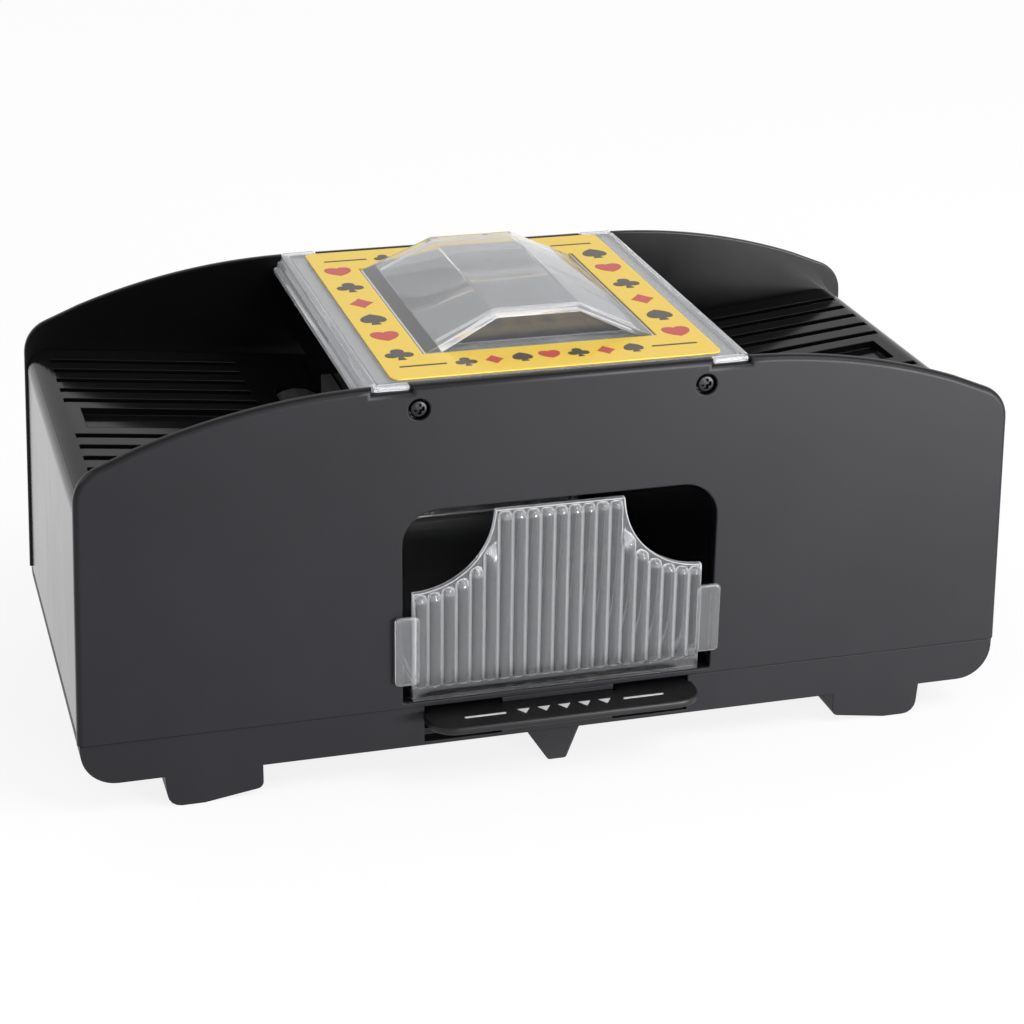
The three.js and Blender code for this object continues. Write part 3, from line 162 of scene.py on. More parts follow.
LYING = np.array(((1, 0, 0), (0, 1, 0), (0, 0, 1)), float)  # outline in x, y; height along +z
STANDING = np.array(((1, 0, 0), (0, 0, 1), (0, -1, 0)), float)  # outline in x, z; height along -y
SIDEWAYS = np.array(((0, 1, 0), (0, 0, 1), (1, 0, 0)), float)  # outline in y, z; height along +x


def grid_quads(rows, columns, wrap=True, start=0):
    """Quads between neighbouring rows of a grid of points, numbered row by row."""
    i, j = np.meshgrid(np.arange(rows - 1), np.arange(columns if wrap else columns - 1), indexing="ij")
    k = (j + 1) % columns
    corners = (i * columns + j, i * columns + k, (i + 1) * columns + k, (i + 1) * columns + j)
    return start + np.stack(corners, -1).reshape(-1, 4)


def rounded(corners, steps=6):
    """Closed outline: at a corner (a, b, radius) a circle's arc touches both of its sides."""
    points = []
    count = len(corners)
    for i, (a, b, *rest) in enumerate(corners):
        radius = rest[0] if rest else 0.0
        here = np.array((a, b), float)
        if radius <= 0:
            points.append(here[None])
            continue
        back = np.array(corners[i - 1][:2], float) - here
        on = np.array(corners[(i + 1) % count][:2], float) - here
        back /= np.linalg.norm(back)
        on /= np.linalg.norm(on)
        half = math.acos(np.clip(back @ on, -1, 1)) / 2
        inward = (back + on) / np.linalg.norm(back + on)
        centre = here + inward * radius / math.sin(half)
        first = here + back * radius / math.tan(half) - centre
        last = here + on * radius / math.tan(half) - centre
        start = math.atan2(first[1], first[0])
        turn = (math.atan2(last[1], last[0]) - start + math.pi) % (2 * math.pi) - math.pi
        angle = start + turn * np.linspace(0, 1, steps + 1)
        points.append(centre + radius * np.stack((np.cos(angle), np.sin(angle)), 1))
    return np.concatenate(points)


def oblong(a0, a1, b0, b1, radius=0.0, steps=6):
    return rounded([(a0, b0, radius), (a1, b0, radius), (a1, b1, radius), (a0, b1, radius)], steps)


def circle(a, b, radius, count=32):
    angle = np.linspace(0, 2 * math.pi, count, endpoint=False)
    return np.stack((a + radius * np.cos(angle), b + radius * np.sin(angle)), 1)


def area(loop):
    a, b = loop.T
    return 0.5 * np.sum(a * np.roll(b, -1) - np.roll(a, -1) * b)


def inward_shift(loop):
    """For each outline point, the step that carries both of its sides one unit to the left."""
    side = np.roll(loop, -1, 0) - loop
    side /= np.linalg.norm(side, axis=1, keepdims=True)
    normal = np.stack((-side[:, 1], side[:, 0]), 1)
    before = np.roll(normal, 1, 0)
    return (normal + before) / (1 + np.sum(normal * before, 1, keepdims=True)).clip(0.2)


def rim_rows(low, high, ease_low, ease_high, steps):
    """Rows (inset, height) of a rim: a quarter circle at each face and a straight wall between."""
    t = np.linspace(0, math.pi / 2, steps + 1)
    rows = []
    if ease_low > 0:
        rows.append(np.stack((ease_low * (1 - np.sin(t)), low + ease_low * (1 - np.cos(t))), 1))
    else:
        rows.append(np.array(((0.0, low),)))
    if ease_high > 0:
        t = t[::-1]
        rows.append(np.stack((ease_high * (1 - np.sin(t)), high - ease_high * (1 - np.cos(t))), 1))
    else:
        rows.append(np.array(((0.0, high),)))
    return np.concatenate(rows)


def inside(loop, points):
    """True for points inside a closed outline: a ray to the right crosses it an odd number of times."""
    a, b = points[:, 0, None], points[:, 1, None]
    a0, b0 = loop.T
    a1, b1 = np.roll(a0, -1), np.roll(b0, -1)
    rise = np.where(b1 == b0, 1.0, b1 - b0)
    crossed = ((b0 > b) != (b1 > b)) & (a < a0 + (b - b0) * (a1 - a0) / rise)
    return crossed.sum(1) % 2 == 1


def face_triangles(loops, first_index, upward):
    """Triangles that fill an outline less its holes, all facing the same way."""
    points = np.concatenate(loops)
    starts = np.cumsum([0, *map(len, loops)])
    rings = [np.arange(s, s + len(loop)) for s, loop in zip(starts, loops)]
    edges = np.concatenate([np.stack((ring, np.roll(ring, -1)), 1) for ring in rings])
    made = delaunay_2d_cdt([Vector(p) for p in points], edges.tolist(), [], 0, 1e-9)
    source = np.array([origin[0] for origin in made[3]])
    found = source[np.array(made[2])]
    middle = points[found].mean(1)
    kept = inside(loops[0], middle)
    for hole in loops[1:]:
        kept &= ~inside(hole, middle)
    found = found[kept]
    a, b, c = (points[found[:, k]] for k in range(3))
    turn = (b[:, 0] - a[:, 0]) * (c[:, 1] - a[:, 1]) - (b[:, 1] - a[:, 1]) * (c[:, 0] - a[:, 0])
    wrong = (turn > 0) != upward
    found[wrong] = found[wrong][:, ::-1]
    return np.concatenate(first_index)[found]


def plate(outer, holes=(), low=0.0, high=1.0, ease=0.0, ease_low=None, steps=4, way=LYING,
          square_below=-1e9, hole_share=1.0):
    """Plate between two heights. A rim is the outline carried through the height and drawn in along
    a quarter circle at each face, and a face is the outline less its holes. The part of the outline
    below square_below keeps a square edge, and the holes' rims are drawn in by hole_share of the ease."""
    rows = rim_rows(low, high, ease if ease_low is None else ease_low, ease, steps)
    points, faces, smooth, bottoms, tops = [], [], [], [], []
    bottom_index, top_index = [], []
    start = 0
    for number, loop in enumerate([outer, *holes]):
        if (area(loop) > 0) != (number == 0):
            loop = loop[::-1]
        count = len(loop)
        shift = inward_shift(loop)
        shift[loop[:, 1] < square_below, 1] = 0.0
        if number > 0:
            shift *= hole_share
        ring = loop[None] + rows[:, 0, None, None] * shift[None]
        height = np.broadcast_to(rows[:, 1, None, None], (len(rows), count, 1))
        points.append(np.concatenate((ring, height), 2).reshape(-1, 3))
        quads = grid_quads(len(rows), count, True, start)
        faces.extend(quads.tolist())
        smooth.extend([True] * len(quads))
        bottoms.append(ring[0])
        tops.append(ring[-1])
        bottom_index.append(start + np.arange(count))
        top_index.append(start + (len(rows) - 1) * count + np.arange(count))
        start += len(rows) * count
    for loops, index, upward in ((bottoms, bottom_index, False), (tops, top_index, True)):
        cap = face_triangles(loops, index, upward)
        faces.extend(cap.tolist())
        smooth.extend([False] * len(cap))
    return np.concatenate(points) @ way, faces, smooth


def turned_profile(profile, centre, way=LYING, count=32):
    """Profile (radius, height) turned once about the height axis; radius 0 makes a pole."""
    profile = np.asarray(profile, float)
    angle = np.linspace(0, 2 * math.pi, count, endpoint=False)
    radius = profile[:, 0, None]
    height = np.broadcast_to(profile[:, 1, None], (len(profile), count))
    points = np.stack((radius * np.cos(angle), radius * np.sin(angle), height), -1).reshape(-1, 3)
    quads = grid_quads(len(profile), count)
    return points @ way + np.asarray(centre, float), quads.tolist(), [True] * len(quads)


def mirrored(part, axis=0, about=0.0):
    """The same part on the other side of a plane, with its faces turned to point outwards."""
    points, faces, smooth = part
    points = points.copy()
    points[:, axis] = 2 * about - points[:, axis]
    return points, [face[::-1] for face in faces], smooth


def moved(part, x=0.0, y=0.0, z=0.0):
    return part[0] + np.array((x, y, z)), part[1], part[2]


def make_piece(name, parts, finish, body, stands_for=(), crease=40.0, inner=None):
    """One object from closed parts in millimetres, riding on a body of the frame. With inner, a
    finish and a test of face middles in millimetres, the faces that pass take that finish."""
    points, faces, smooth = [], [], []
    start = 0
    for part_points, part_faces, part_smooth in parts:
        points.append(part_points)
        faces.extend([[start + i for i in face] for face in part_faces])
        smooth.extend(part_smooth)
        start += len(part_points)
    mesh = bpy.data.meshes.new(name)
    mesh.from_pydata(np.concatenate(points) * MM, [], faces)
    mesh.polygons.foreach_set("use_smooth", smooth)
    weld_poles(mesh)
    flat_caps(mesh, crease)
    mesh.materials.append(finish)
    if inner:
        mesh.materials.append(inner[0])
        middles = np.empty(len(mesh.polygons) * 3)
        mesh.polygons.foreach_get("center", middles)
        chosen = inner[1](middles.reshape(-1, 3) / MM)
        mesh.polygons.foreach_set("material_index", chosen.astype(np.int32))
    piece = bpy.data.objects.new(name, mesh)
    bpy.context.scene.collection.objects.link(piece)
    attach(piece, body)
    if stands_for:
        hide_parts(*stands_for)
    return piece


def flat_caps(mesh, crease):
    """Shading normals: a flat face keeps its own at every corner, and the eased rim that runs into
    it takes the same one there, so that a large face shows no smears."""
    rounded_face = np.empty(len(mesh.polygons), bool)
    mesh.polygons.foreach_get("use_smooth", rounded_face)
    face_normal = np.empty(len(mesh.polygons) * 3)
    mesh.polygons.foreach_get("normal", face_normal)
    face_normal = face_normal.reshape(-1, 3)
    counts = np.empty(len(mesh.polygons), np.int32)
    mesh.polygons.foreach_get("loop_total", counts)
    point = np.empty(len(mesh.loops), np.int32)
    mesh.loops.foreach_get("vertex_index", point)
    mesh.polygons.foreach_set("use_smooth", np.ones(len(rounded_face), bool))
    mesh.set_sharp_from_angle(angle=math.radians(crease))
    corner = np.empty(len(point) * 3)
    mesh.corner_normals.foreach_get("vector", corner)
    corner = corner.reshape(-1, 3)
    own = np.repeat(face_normal, counts, axis=0)
    on_cap = np.repeat(~rounded_face, counts)
    cap_normal = np.zeros((len(mesh.vertices), 3))
    cap_normal[point[on_cap]] = own[on_cap]
    wanted = cap_normal[point]
    near = (own * wanted).sum(1) > math.cos(math.radians(crease))
    corner = np.where(near[:, None], wanted, corner)
    corner[on_cap] = own[on_cap]
    mesh.normals_split_custom_set(corner)


def weld_poles(mesh):
    """Joins points that lie together, as at a pole, and drops the faces that close up."""
    work = bmesh.new()
    work.from_mesh(mesh)
    bmesh.ops.remove_doubles(work, verts=work.verts, dist=1e-7)
    bmesh.ops.dissolve_degenerate(work, edges=work.edges, dist=1e-8)
    work.to_mesh(mesh)
    work.free()
    mesh.validate()


# ------------ finishes


class Value:
    """A number that changes over a surface; its operators add the maths nodes that work it out."""

    def __init__(self, finish, socket):
        self.finish = finish
        self.socket = socket

    def _with(self, operation, first, second=None):
        inputs = {0: first} if second is None else {0: first, 1: second}
        return self.finish.node("ShaderNodeMath", {"operation": operation}, inputs)

    def __add__(self, other):
        return self._with("ADD", self, other)

    def __radd__(self, other):
        return self._with("ADD", other, self)

    def __sub__(self, other):
        return self._with("SUBTRACT", self, other)

    def __rsub__(self, other):
        return self._with("SUBTRACT", other, self)

    def __mul__(self, other):
        return self._with("MULTIPLY", self, other)

    def __rmul__(self, other):
        return self._with("MULTIPLY", other, self)

    def __gt__(self, other):
        return self._with("GREATER_THAN", self, other)

    def size(self):
        return self._with("ABSOLUTE", self)


class Finish:
    """One material and its nodes."""

    def __init__(self, name):
        self.material = bpy.data.materials.new(name)
        self.material.use_nodes = True
        self.tree = self.material.node_tree
        self.shader = self.tree.nodes["Principled BSDF"]
        self.output = self.tree.nodes["Material Output"]
        self.places = self.node("ShaderNodeTexCoord", {}, {}, "Object")

    def node(self, kind, settings, sockets, output=0):
        """Adds a node: settings first, then the values or links of its sockets."""
        made = self.tree.nodes.new(kind)
        for name, value in settings.items():
            if name == "stops":
                set_stops(made.color_ramp, value)
            else:
                setattr(made, name, value)
        for name, value in sockets.items():
            self.feed(made.inputs[name], value)
        return Value(self, made.outputs[output])

    def feed(self, socket, value):
        if isinstance(value, Value):
            self.tree.links.new(value.socket, socket)
        else:
            socket.default_value = value

    def set(self, **sockets):
        for name, value in sockets.items():
            self.feed(self.shader.inputs[name.replace("_", " ")], value)

    def noise(self, scale, detail=2.0, roughness=0.5, stretch=None):
        """Noise over the piece; scale counts its grains to a metre."""
        places = self.places
        if stretch:
            places = self.node("ShaderNodeMapping", {}, {"Vector": places, "Scale": stretch})
        inputs = {"Vector": places, "Scale": scale, "Detail": detail, "Roughness": roughness}
        return self.node("ShaderNodeTexNoise", {}, inputs)

    def ramp(self, value, stops):
        return self.node("ShaderNodeValToRGB", {"stops": stops}, {"Fac": value})

    def mix(self, factor, first, second):
        inputs = {0: factor, 6: first, 7: second}
        return self.node("ShaderNodeMix", {"data_type": "RGBA"}, inputs, 2)

    def axis(self, letter):
        return self.node("ShaderNodeSeparateXYZ", {}, {"Vector": self.places}, letter)

    def relief(self, height, distance, strength=1.0, edge=0.0):
        """Small relief, in millimetres, over edges that are eased by a small radius."""
        inputs = {"Height": height, "Distance": distance * MM, "Strength": strength}
        if edge > 0:
            inputs["Normal"] = self.eased(edge)
        return self.node("ShaderNodeBump", {}, inputs)

    def eased(self, radius):
        return self.node("ShaderNodeBevel", {"samples": 6}, {"Radius": radius * MM})

    def mixed_with(self, other, share):
        """Shows another shader over this one by a share, and gives the material."""
        own = Value(self, self.shader.outputs[0])
        mixed = self.node("ShaderNodeMixShader", {}, {0: share, 1: own, 2: other})
        self.feed(self.output.inputs["Surface"], mixed)
        return self.material


def set_stops(ramp, stops):
    while len(ramp.elements) < len(stops):
        ramp.elements.new(0.5)
    for element, (place, colour) in zip(ramp.elements, stops):
        element.position = place
        element.color = colour


def grey(level):
    return (level, level, level, 1.0)


def rgb(colour, share=1.0):
    return (*(c * share for c in colour), 1.0)


def black_plastic(name, colour, gloss, index, edge=0.35, grain=0.012):
    """Moulded black plastic: fine spark-eroded grain, slow changes of gloss and a little dust."""
    finish = Finish(name)
    grains = finish.noise(2600, 3, 0.6)
    cloud = finish.noise(28, 4, 0.6)
    smear = finish.noise(160, 2, 0.5, (1.0, 1.0, 0.25))
    lighter = tuple(min(1.0, c * 1.5 + 0.002) for c in colour)
    finish.set(
        Base_Color=finish.mix(cloud * 0.8, rgb(colour), rgb(lighter)),
        Roughness=cloud * 0.10 + smear * 0.06 + (gloss - 0.08),
        Normal=finish.relief(grains, grain, 0.5, edge),
        IOR=index,
    )
    return finish.material


def clear_plastic(name, colour, haze, painted_edge_highlight, clear_below=None, painted_side_highlight=0.0):
    """Clear styrene with haze on its outer faces, fading out below a height. Its edges take a painted
    highlight of white veil, and so may the faces that turn to the left."""
    finish = Finish(name)
    waves = finish.noise(60, 1, 0.3)
    cloud = finish.noise(20, 2, 0.4)
    finish.set(
        Base_Color=rgb(colour),
        Roughness=cloud * 0.04 + 0.02,
        Transmission_Weight=1.0,
        IOR=1.5,
        Normal=finish.relief(waves, 0.005, 0.08),
    )
    haze_and_painted_highlight = finish.node("ShaderNodeBsdfDiffuse", {}, {"Color": rgb((0.86, 0.87, 0.9))})
    facing = finish.node("ShaderNodeNewGeometry", {}, {}, "Normal")
    left, up = (finish.node("ShaderNodeSeparateXYZ", {}, {"Vector": facing}, axis) for axis in "XZ")
    outer = finish.ramp(up, [(0, grey(0.35)), (0.1, grey(1.0))])
    # Painted highlight along the edges: where the eased normal turns away from the face's own, more white
    # veil shows.
    blurred = finish.eased(0.45)
    even = finish.node("ShaderNodeVectorMath", {"operation": "DOT_PRODUCT"}, {0: facing, 1: blurred}, 1)
    edge = finish.ramp(even, [(0.86, grey(1.0)), (0.985, grey(0.0))])
    # The veil's share: the haze, with the painted edge highlight added on top.
    share = (cloud * (haze * 0.2) + haze * 0.9) * outer + edge * painted_edge_highlight
    if painted_side_highlight:
        # Painted highlight: more white veil on the faces that turn to the left.
        turned = finish.ramp(0.0 - left, [(0.8, grey(0.0)), (0.93, grey(1.0))])
        share = share + turned * painted_side_highlight
    if clear_below:
        low, high = clear_below
        height = (finish.axis("Z") - low) * (1 / (high - low))
        share = share * finish.ramp(height, [(0, grey(0.05)), (1, grey(1.0))])
    return finish.mixed_with(haze_and_painted_highlight, share)


def printed_sheet(name, colour):
    """Printed film: even ink with faint mottle under a smooth, lightly worn laminate."""
    finish = Finish(name)
    mottle = finish.noise(700, 3, 0.6)
    worn = finish.noise(60, 4, 0.7)
    finish.set(
        Base_Color=finish.mix(mottle, rgb(colour), rgb(colour, 0.9)),
        Roughness=worn * 0.12 + 0.3,
        Coat_Weight=0.25,
        Coat_Roughness=0.1,
        Normal=finish.relief(mottle, 0.01, 0.3),
    )
    return finish.material


def rubber(name, colour):
    """Soft grip rubber with a ground, dusty surface."""
    finish = Finish(name)
    ground = finish.noise(1800, 4, 0.7)
    cloud = finish.noise(120, 3, 0.6)
    finish.set(
        Base_Color=finish.mix(cloud, rgb(colour), rgb(colour, 1.7)),
        Roughness=cloud * 0.15 + 0.75,
        Normal=finish.relief(ground, 0.06, 0.7, 0.2),
    )
    return finish.material


def moulded(name, colour, gloss):
    """Plain moulded plastic, such as an acetal gear or a lead's insulation."""
    finish = Finish(name)
    cloud = finish.noise(200, 3, 0.6)
    grain = finish.noise(2200, 2, 0.6)
    finish.set(
        Base_Color=finish.mix(cloud, rgb(colour), rgb(colour, 0.82)),
        Roughness=cloud * 0.15 + gloss,
        Normal=finish.relief(grain, 0.01, 0.4, 0.12),
    )
    return finish.material


def metal(name, colour, gloss, brushed=(1.0, 0.15, 1.0)):
    """Plated or drawn metal with fine marks along its length and a faint tarnish."""
    finish = Finish(name)
    marks = finish.noise(2500, 3, 0.6, brushed)
    tarnish = finish.noise(150, 4, 0.65)
    finish.set(
        Base_Color=finish.mix(tarnish, rgb(colour), rgb(colour, 0.75)),
        Metallic=1.0,
        Roughness=marks * 0.12 + tarnish * 0.12 + gloss,
        Normal=finish.relief(marks, 0.006, 0.4, 0.1),
    )
    return finish.material


def cell_wrap(name, colour, cap):
    """Battery sleeve: two bands of colour along the cell, with bare steel at both ends."""
    finish = Finish(name)
    low, high = span("battery_1")
    along = finish.axis("X") * (1 / MM) - (low[0] + high[0]) / 2
    ends = along.size() > (high[0] - low[0]) / 2 - 1.6
    band = along > 8.0
    mottle = finish.noise(500, 2, 0.5)
    sleeve = finish.mix(band, rgb(colour), rgb(cap))
    finish.set(
        Base_Color=finish.mix(ends, sleeve, rgb((0.55, 0.56, 0.58))),
        Metallic=ends * 0.9,
        Roughness=mottle * 0.1 + 0.25,
    )
    return finish.material


# ------------ sizes and colours to change


class ShufflerSizes(bpy.types.PropertyGroup):
    panel_ease: bpy.props.FloatProperty(
        name="Panel edge", description="Rounding of the panels' outer edge", default=0.0012, unit="LENGTH")
    rib_ease: bpy.props.FloatProperty(
        name="Rib gap", description="Gap between two drawer ribs", default=0.0003, unit="LENGTH")
    clear_ease: bpy.props.FloatProperty(
        name="Clear edge", description="Rounding of the clear pieces' edges", default=0.00035, unit="LENGTH")
    suit_width: bpy.props.FloatProperty(
        name="Suit width", description="Width of a heart or club on the label", default=0.0061, unit="LENGTH")
    print_relief: bpy.props.FloatProperty(
        name="Print relief", description="Thickness of the printed ink", default=0.00006, unit="LENGTH")
    screw_cross: bpy.props.FloatProperty(
        name="Cross recess", description="Half-width of the cross in a screw head", default=0.00045,
        unit="LENGTH")


def colour_property(name, description, default):
    return bpy.props.FloatVectorProperty(
        name=name, description=description, default=default, subtype="COLOR", size=3, min=0.0, max=1.0)


class ShufflerColours(bpy.types.PropertyGroup):
    shell: colour_property("Shell", "Panels, base and lever", (0.0062, 0.0060, 0.0080))
    hopper: colour_property("Hopper", "Glossy hoppers and gates", (0.0025, 0.0025, 0.0030))
    clear: colour_property("Clear", "Drawer and cover", (0.97, 0.975, 0.985))
    label: colour_property("Label", "Label's ground", (0.90, 0.62, 0.055))
    red_print: colour_property("Red print", "Hearts and diamonds", (0.56, 0.05, 0.045))
    dark_print: colour_property("Dark print", "Spades, clubs and lines", (0.055, 0.042, 0.035))
    pale_print: colour_property("Pale print", "Marks on the lever", (0.62, 0.62, 0.63))
    rubber: colour_property("Rubber", "Feed rollers and pads", (0.009, 0.009, 0.0095))
    gear: colour_property("Gear", "Acetal gears", (0.78, 0.75, 0.66))
    steel: colour_property("Steel", "Shafts, screws and springs", (0.62, 0.63, 0.65))
    black_steel: colour_property("Black steel", "Panel screws", (0.035, 0.035, 0.038))
    can: colour_property("Motor can", "Motor housings", (0.50, 0.51, 0.53))
    brass: colour_property("Brass", "Contacts and bushes", (0.72, 0.50, 0.22))
    cell: colour_property("Cell", "Battery sleeve", (0.05, 0.13, 0.27))
    cell_band: colour_property("Cell band", "Band round a battery", (0.62, 0.62, 0.64))
    red_lead: colour_property("Red lead", "Supply and motor leads", (0.42, 0.02, 0.016))
    black_lead: colour_property("Black lead", "Return lead", (0.012, 0.012, 0.012))
    floor: colour_property("Floor", "Floor and surround", (0.93, 0.93, 0.93))


FINISHES = {}


def sizes():
    return bpy.context.scene.shuffler_sizes


def make_finishes():
    """Every material of the object. Most have the name of a slot in the record, and the lever, the
    panels' inner faces, the cover's plate and the hood have finishes of their own."""
    colours = bpy.context.scene.shuffler_colours
    FINISHES.update({
        "black_shell": black_plastic("satin_shell", colours.shell, 0.46, 1.3),
        "black_lever": black_plastic("satin_lever", colours.hopper, 0.4, 1.4),
        "black_inner": black_plastic("gloss_hopper", colours.hopper, 0.13, 1.28, 0.3, 0.004),
        # Clear finishes: haze, then the painted edge highlight; the drawer's last number is a painted
        # highlight on faces that turn to the left.
        "clear_plastic": clear_plastic("clear_styrene", colours.clear, 0.14, 0.55, (0.0195, 0.025), 0.95),
        "clear_plate": clear_plastic("clear_plate", colours.clear, 0.17, 0.5),
        "clear_hood": clear_plastic("clear_hood", colours.clear, 0.15, 0.6),
        "black_inside": black_plastic("inside_of_panels", colours.hopper, 0.3, 1.3, 0.3, 0.004),
        "label_print": printed_sheet("label_yellow", colours.label),
        "red_print": printed_sheet("print_red", colours.red_print),
        "dark_print": printed_sheet("print_dark", colours.dark_print),
        "pale_print": printed_sheet("print_pale", colours.pale_print),
        "rubber_part": rubber("grip_rubber", colours.rubber),
        "white_gear": moulded("acetal_gear", colours.gear, 0.35),
        "plated_steel": metal("plated_steel", colours.steel, 0.18),
        "black_steel": metal("blackened_steel", colours.black_steel, 0.3),
        "motor_can": metal("motor_can", colours.can, 0.25, (1.0, 0.1, 1.0)),
        "brass_part": metal("drawn_brass", colours.brass, 0.2, (0.15, 1.0, 1.0)),
        "battery_cell": cell_wrap("cell_sleeve", colours.cell, colours.cell_band),
        "red_lead": moulded("red_insulation", colours.red_lead, 0.35),
        "black_lead": moulded("black_insulation", colours.black_lead, 0.35),
    })


def refinish(*nodes):
    """Gives each CAD node the finish of the slot that the record names for it."""
    for name in nodes:
        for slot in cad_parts[name].material_slots:
            slot.material = FINISHES[slot.material.name.split(".")[0]]


# ------------ outlines


def panel_half(z):
    return HALF_LENGTH - DRAFT * (z - SEAM)


def arch_height(x):
    run = np.maximum(0, np.abs(x) - ARCH_START)
    return PANEL_TOP - ARCH_RADIUS + np.sqrt(ARCH_RADIUS**2 - run**2)


def panel_outline():
    """Flat bottom, leaning ends, side arcs of one radius, a flat top and the two cover notches."""
    inner, outer, depth = NOTCH
    side = panel_half(arch_height(panel_half(PANEL_TOP)))
    reach = panel_half(PANEL_TOP) - 1.5 * PANEL_CORNER
    arc_x = np.linspace(reach, outer + 3.0, 26)
    right = [(panel_half(SEAM), SEAM), (side, arch_height(side), PANEL_CORNER)]
    right += [(x, arch_height(x)) for x in arc_x]
    right += [(outer, PANEL_TOP), (outer, PANEL_TOP - depth), (inner, PANEL_TOP - depth), (inner, PANEL_TOP)]
    return rounded(right + [(-x, z, *r) for x, z, *r in reversed(right)], 12)


def window_outline():
    half, bottom, top, corner = WINDOW
    return rounded([(-half, bottom, 0.5), (half, bottom, 0.5), (half, top, corner), (-half, top, corner)], 10)


def drawer_top(x):
    """Height of the drawer's front edge: level crest, then a quarter-ellipse cove down to the shoulder."""
    run = DRAWER_HALF - CREST_HALF
    out = np.clip((DRAWER_HALF - np.abs(x)) / run, 0, 1)
    rise = DRAWER_HIGH[2] - SHOULDER_Z
    return DRAWER_HIGH[2] - rise * np.sqrt(1 - out**2) * (np.abs(x) > CREST_HALF)


# ------------ suit marks


def in_heart(x, y):
    return (x * x + y * y - 1) ** 3 - x * x * y**3 <= 0


def in_diamond(x, y):
    return (np.abs(x) / 0.86) ** 0.92 + (np.abs(y) / 1.08) ** 0.92 <= 1


def in_spade(x, y):
    stem = (y < 0) & (y > -1.1) & (np.abs(x) < 0.08 + 0.5 * np.clip(-0.35 - y, 0, 1) ** 1.6)
    return in_heart(x * 1.2, -(y - 0.42) * 1.2) | stem


def in_club(x, y):
    lobe = (x**2 + (y - 0.56) ** 2 < 0.2) | ((np.abs(x) - 0.5) ** 2 + (y + 0.12) ** 2 < 0.2)
    stem = (y < 0.1) & (y > -1.05) & (np.abs(x) < 0.1 + 0.45 * np.clip(-0.35 - y, 0, 1) ** 1.6)
    return lobe | stem | (x**2 + y**2 < 0.06)


SUITS = {"heart": in_heart, "diamond": in_diamond, "spade": in_spade, "club": in_club}
SUIT_WIDTHS = {"heart": 1.0, "diamond": 0.87, "spade": 0.93, "club": 1.0}


def suit_outline(suit, count=96):
    """Outline seen from the middle: in each direction, the farthest point that is still inside."""
    angle = np.linspace(0, 2 * math.pi, count, endpoint=False)
    reach = np.linspace(0.02, 1.5, 700)[:, None]
    inside = SUITS[suit](reach * np.cos(angle), reach * np.sin(angle))
    far = np.where(inside, reach, 0).max(0)
    outline = np.stack((far * np.cos(angle), far * np.sin(angle)), 1)
    return outline * SUIT_WIDTHS[suit] / np.ptp(outline[:, 0])


def mark(outline, x, y, scale, z):
    """A suit or arrow as a thin raised plate of ink."""
    loop = outline * scale + np.array((x, y))
    relief = sizes().print_relief / MM
    return plate(loop, low=z - 0.02, high=z + relief)


# ------------ pieces


def panel_part(holes):
    ease = sizes().panel_ease / MM
    rims = [circle(side * SCREW_AT[0], SCREW_AT[1], SCREW_RECESS) for side in (-1, 1)] + holes
    depth = PANEL_HIGH[1] - PANEL_LOW[1]
    return plate(panel_outline(), rims, 0.0, depth, ease, PANEL_BACK_EASE, 6, STANDING, SEAM + 0.01, 0.25)


class SHUFFLER_OT_panels(bpy.types.Operator):
    """Front panel with its window, and the plain rear panel"""

    bl_idname = "shuffler.panels"
    bl_label = "Panels"

    def execute(self, context):
        front = moved(panel_part([window_outline()]), y=PANEL_HIGH[1])
        outer, gloss = FINISHES["black_shell"], FINISHES["black_inside"]
        make_piece("front_panel_shell", [front], outer, "housing", ["front_panel"],
                   inner=(gloss, lambda middle: middle[:, 1] > FRONT + SKIN))
        rear = mirrored(moved(panel_part([]), y=PANEL_HIGH[1]), 1, MIDDLE_Y)
        make_piece("rear_panel_shell", [rear], outer, "housing", ["rear_panel"],
                   inner=(gloss, lambda middle: middle[:, 1] < REAR - SKIN))
        return {"FINISHED"}


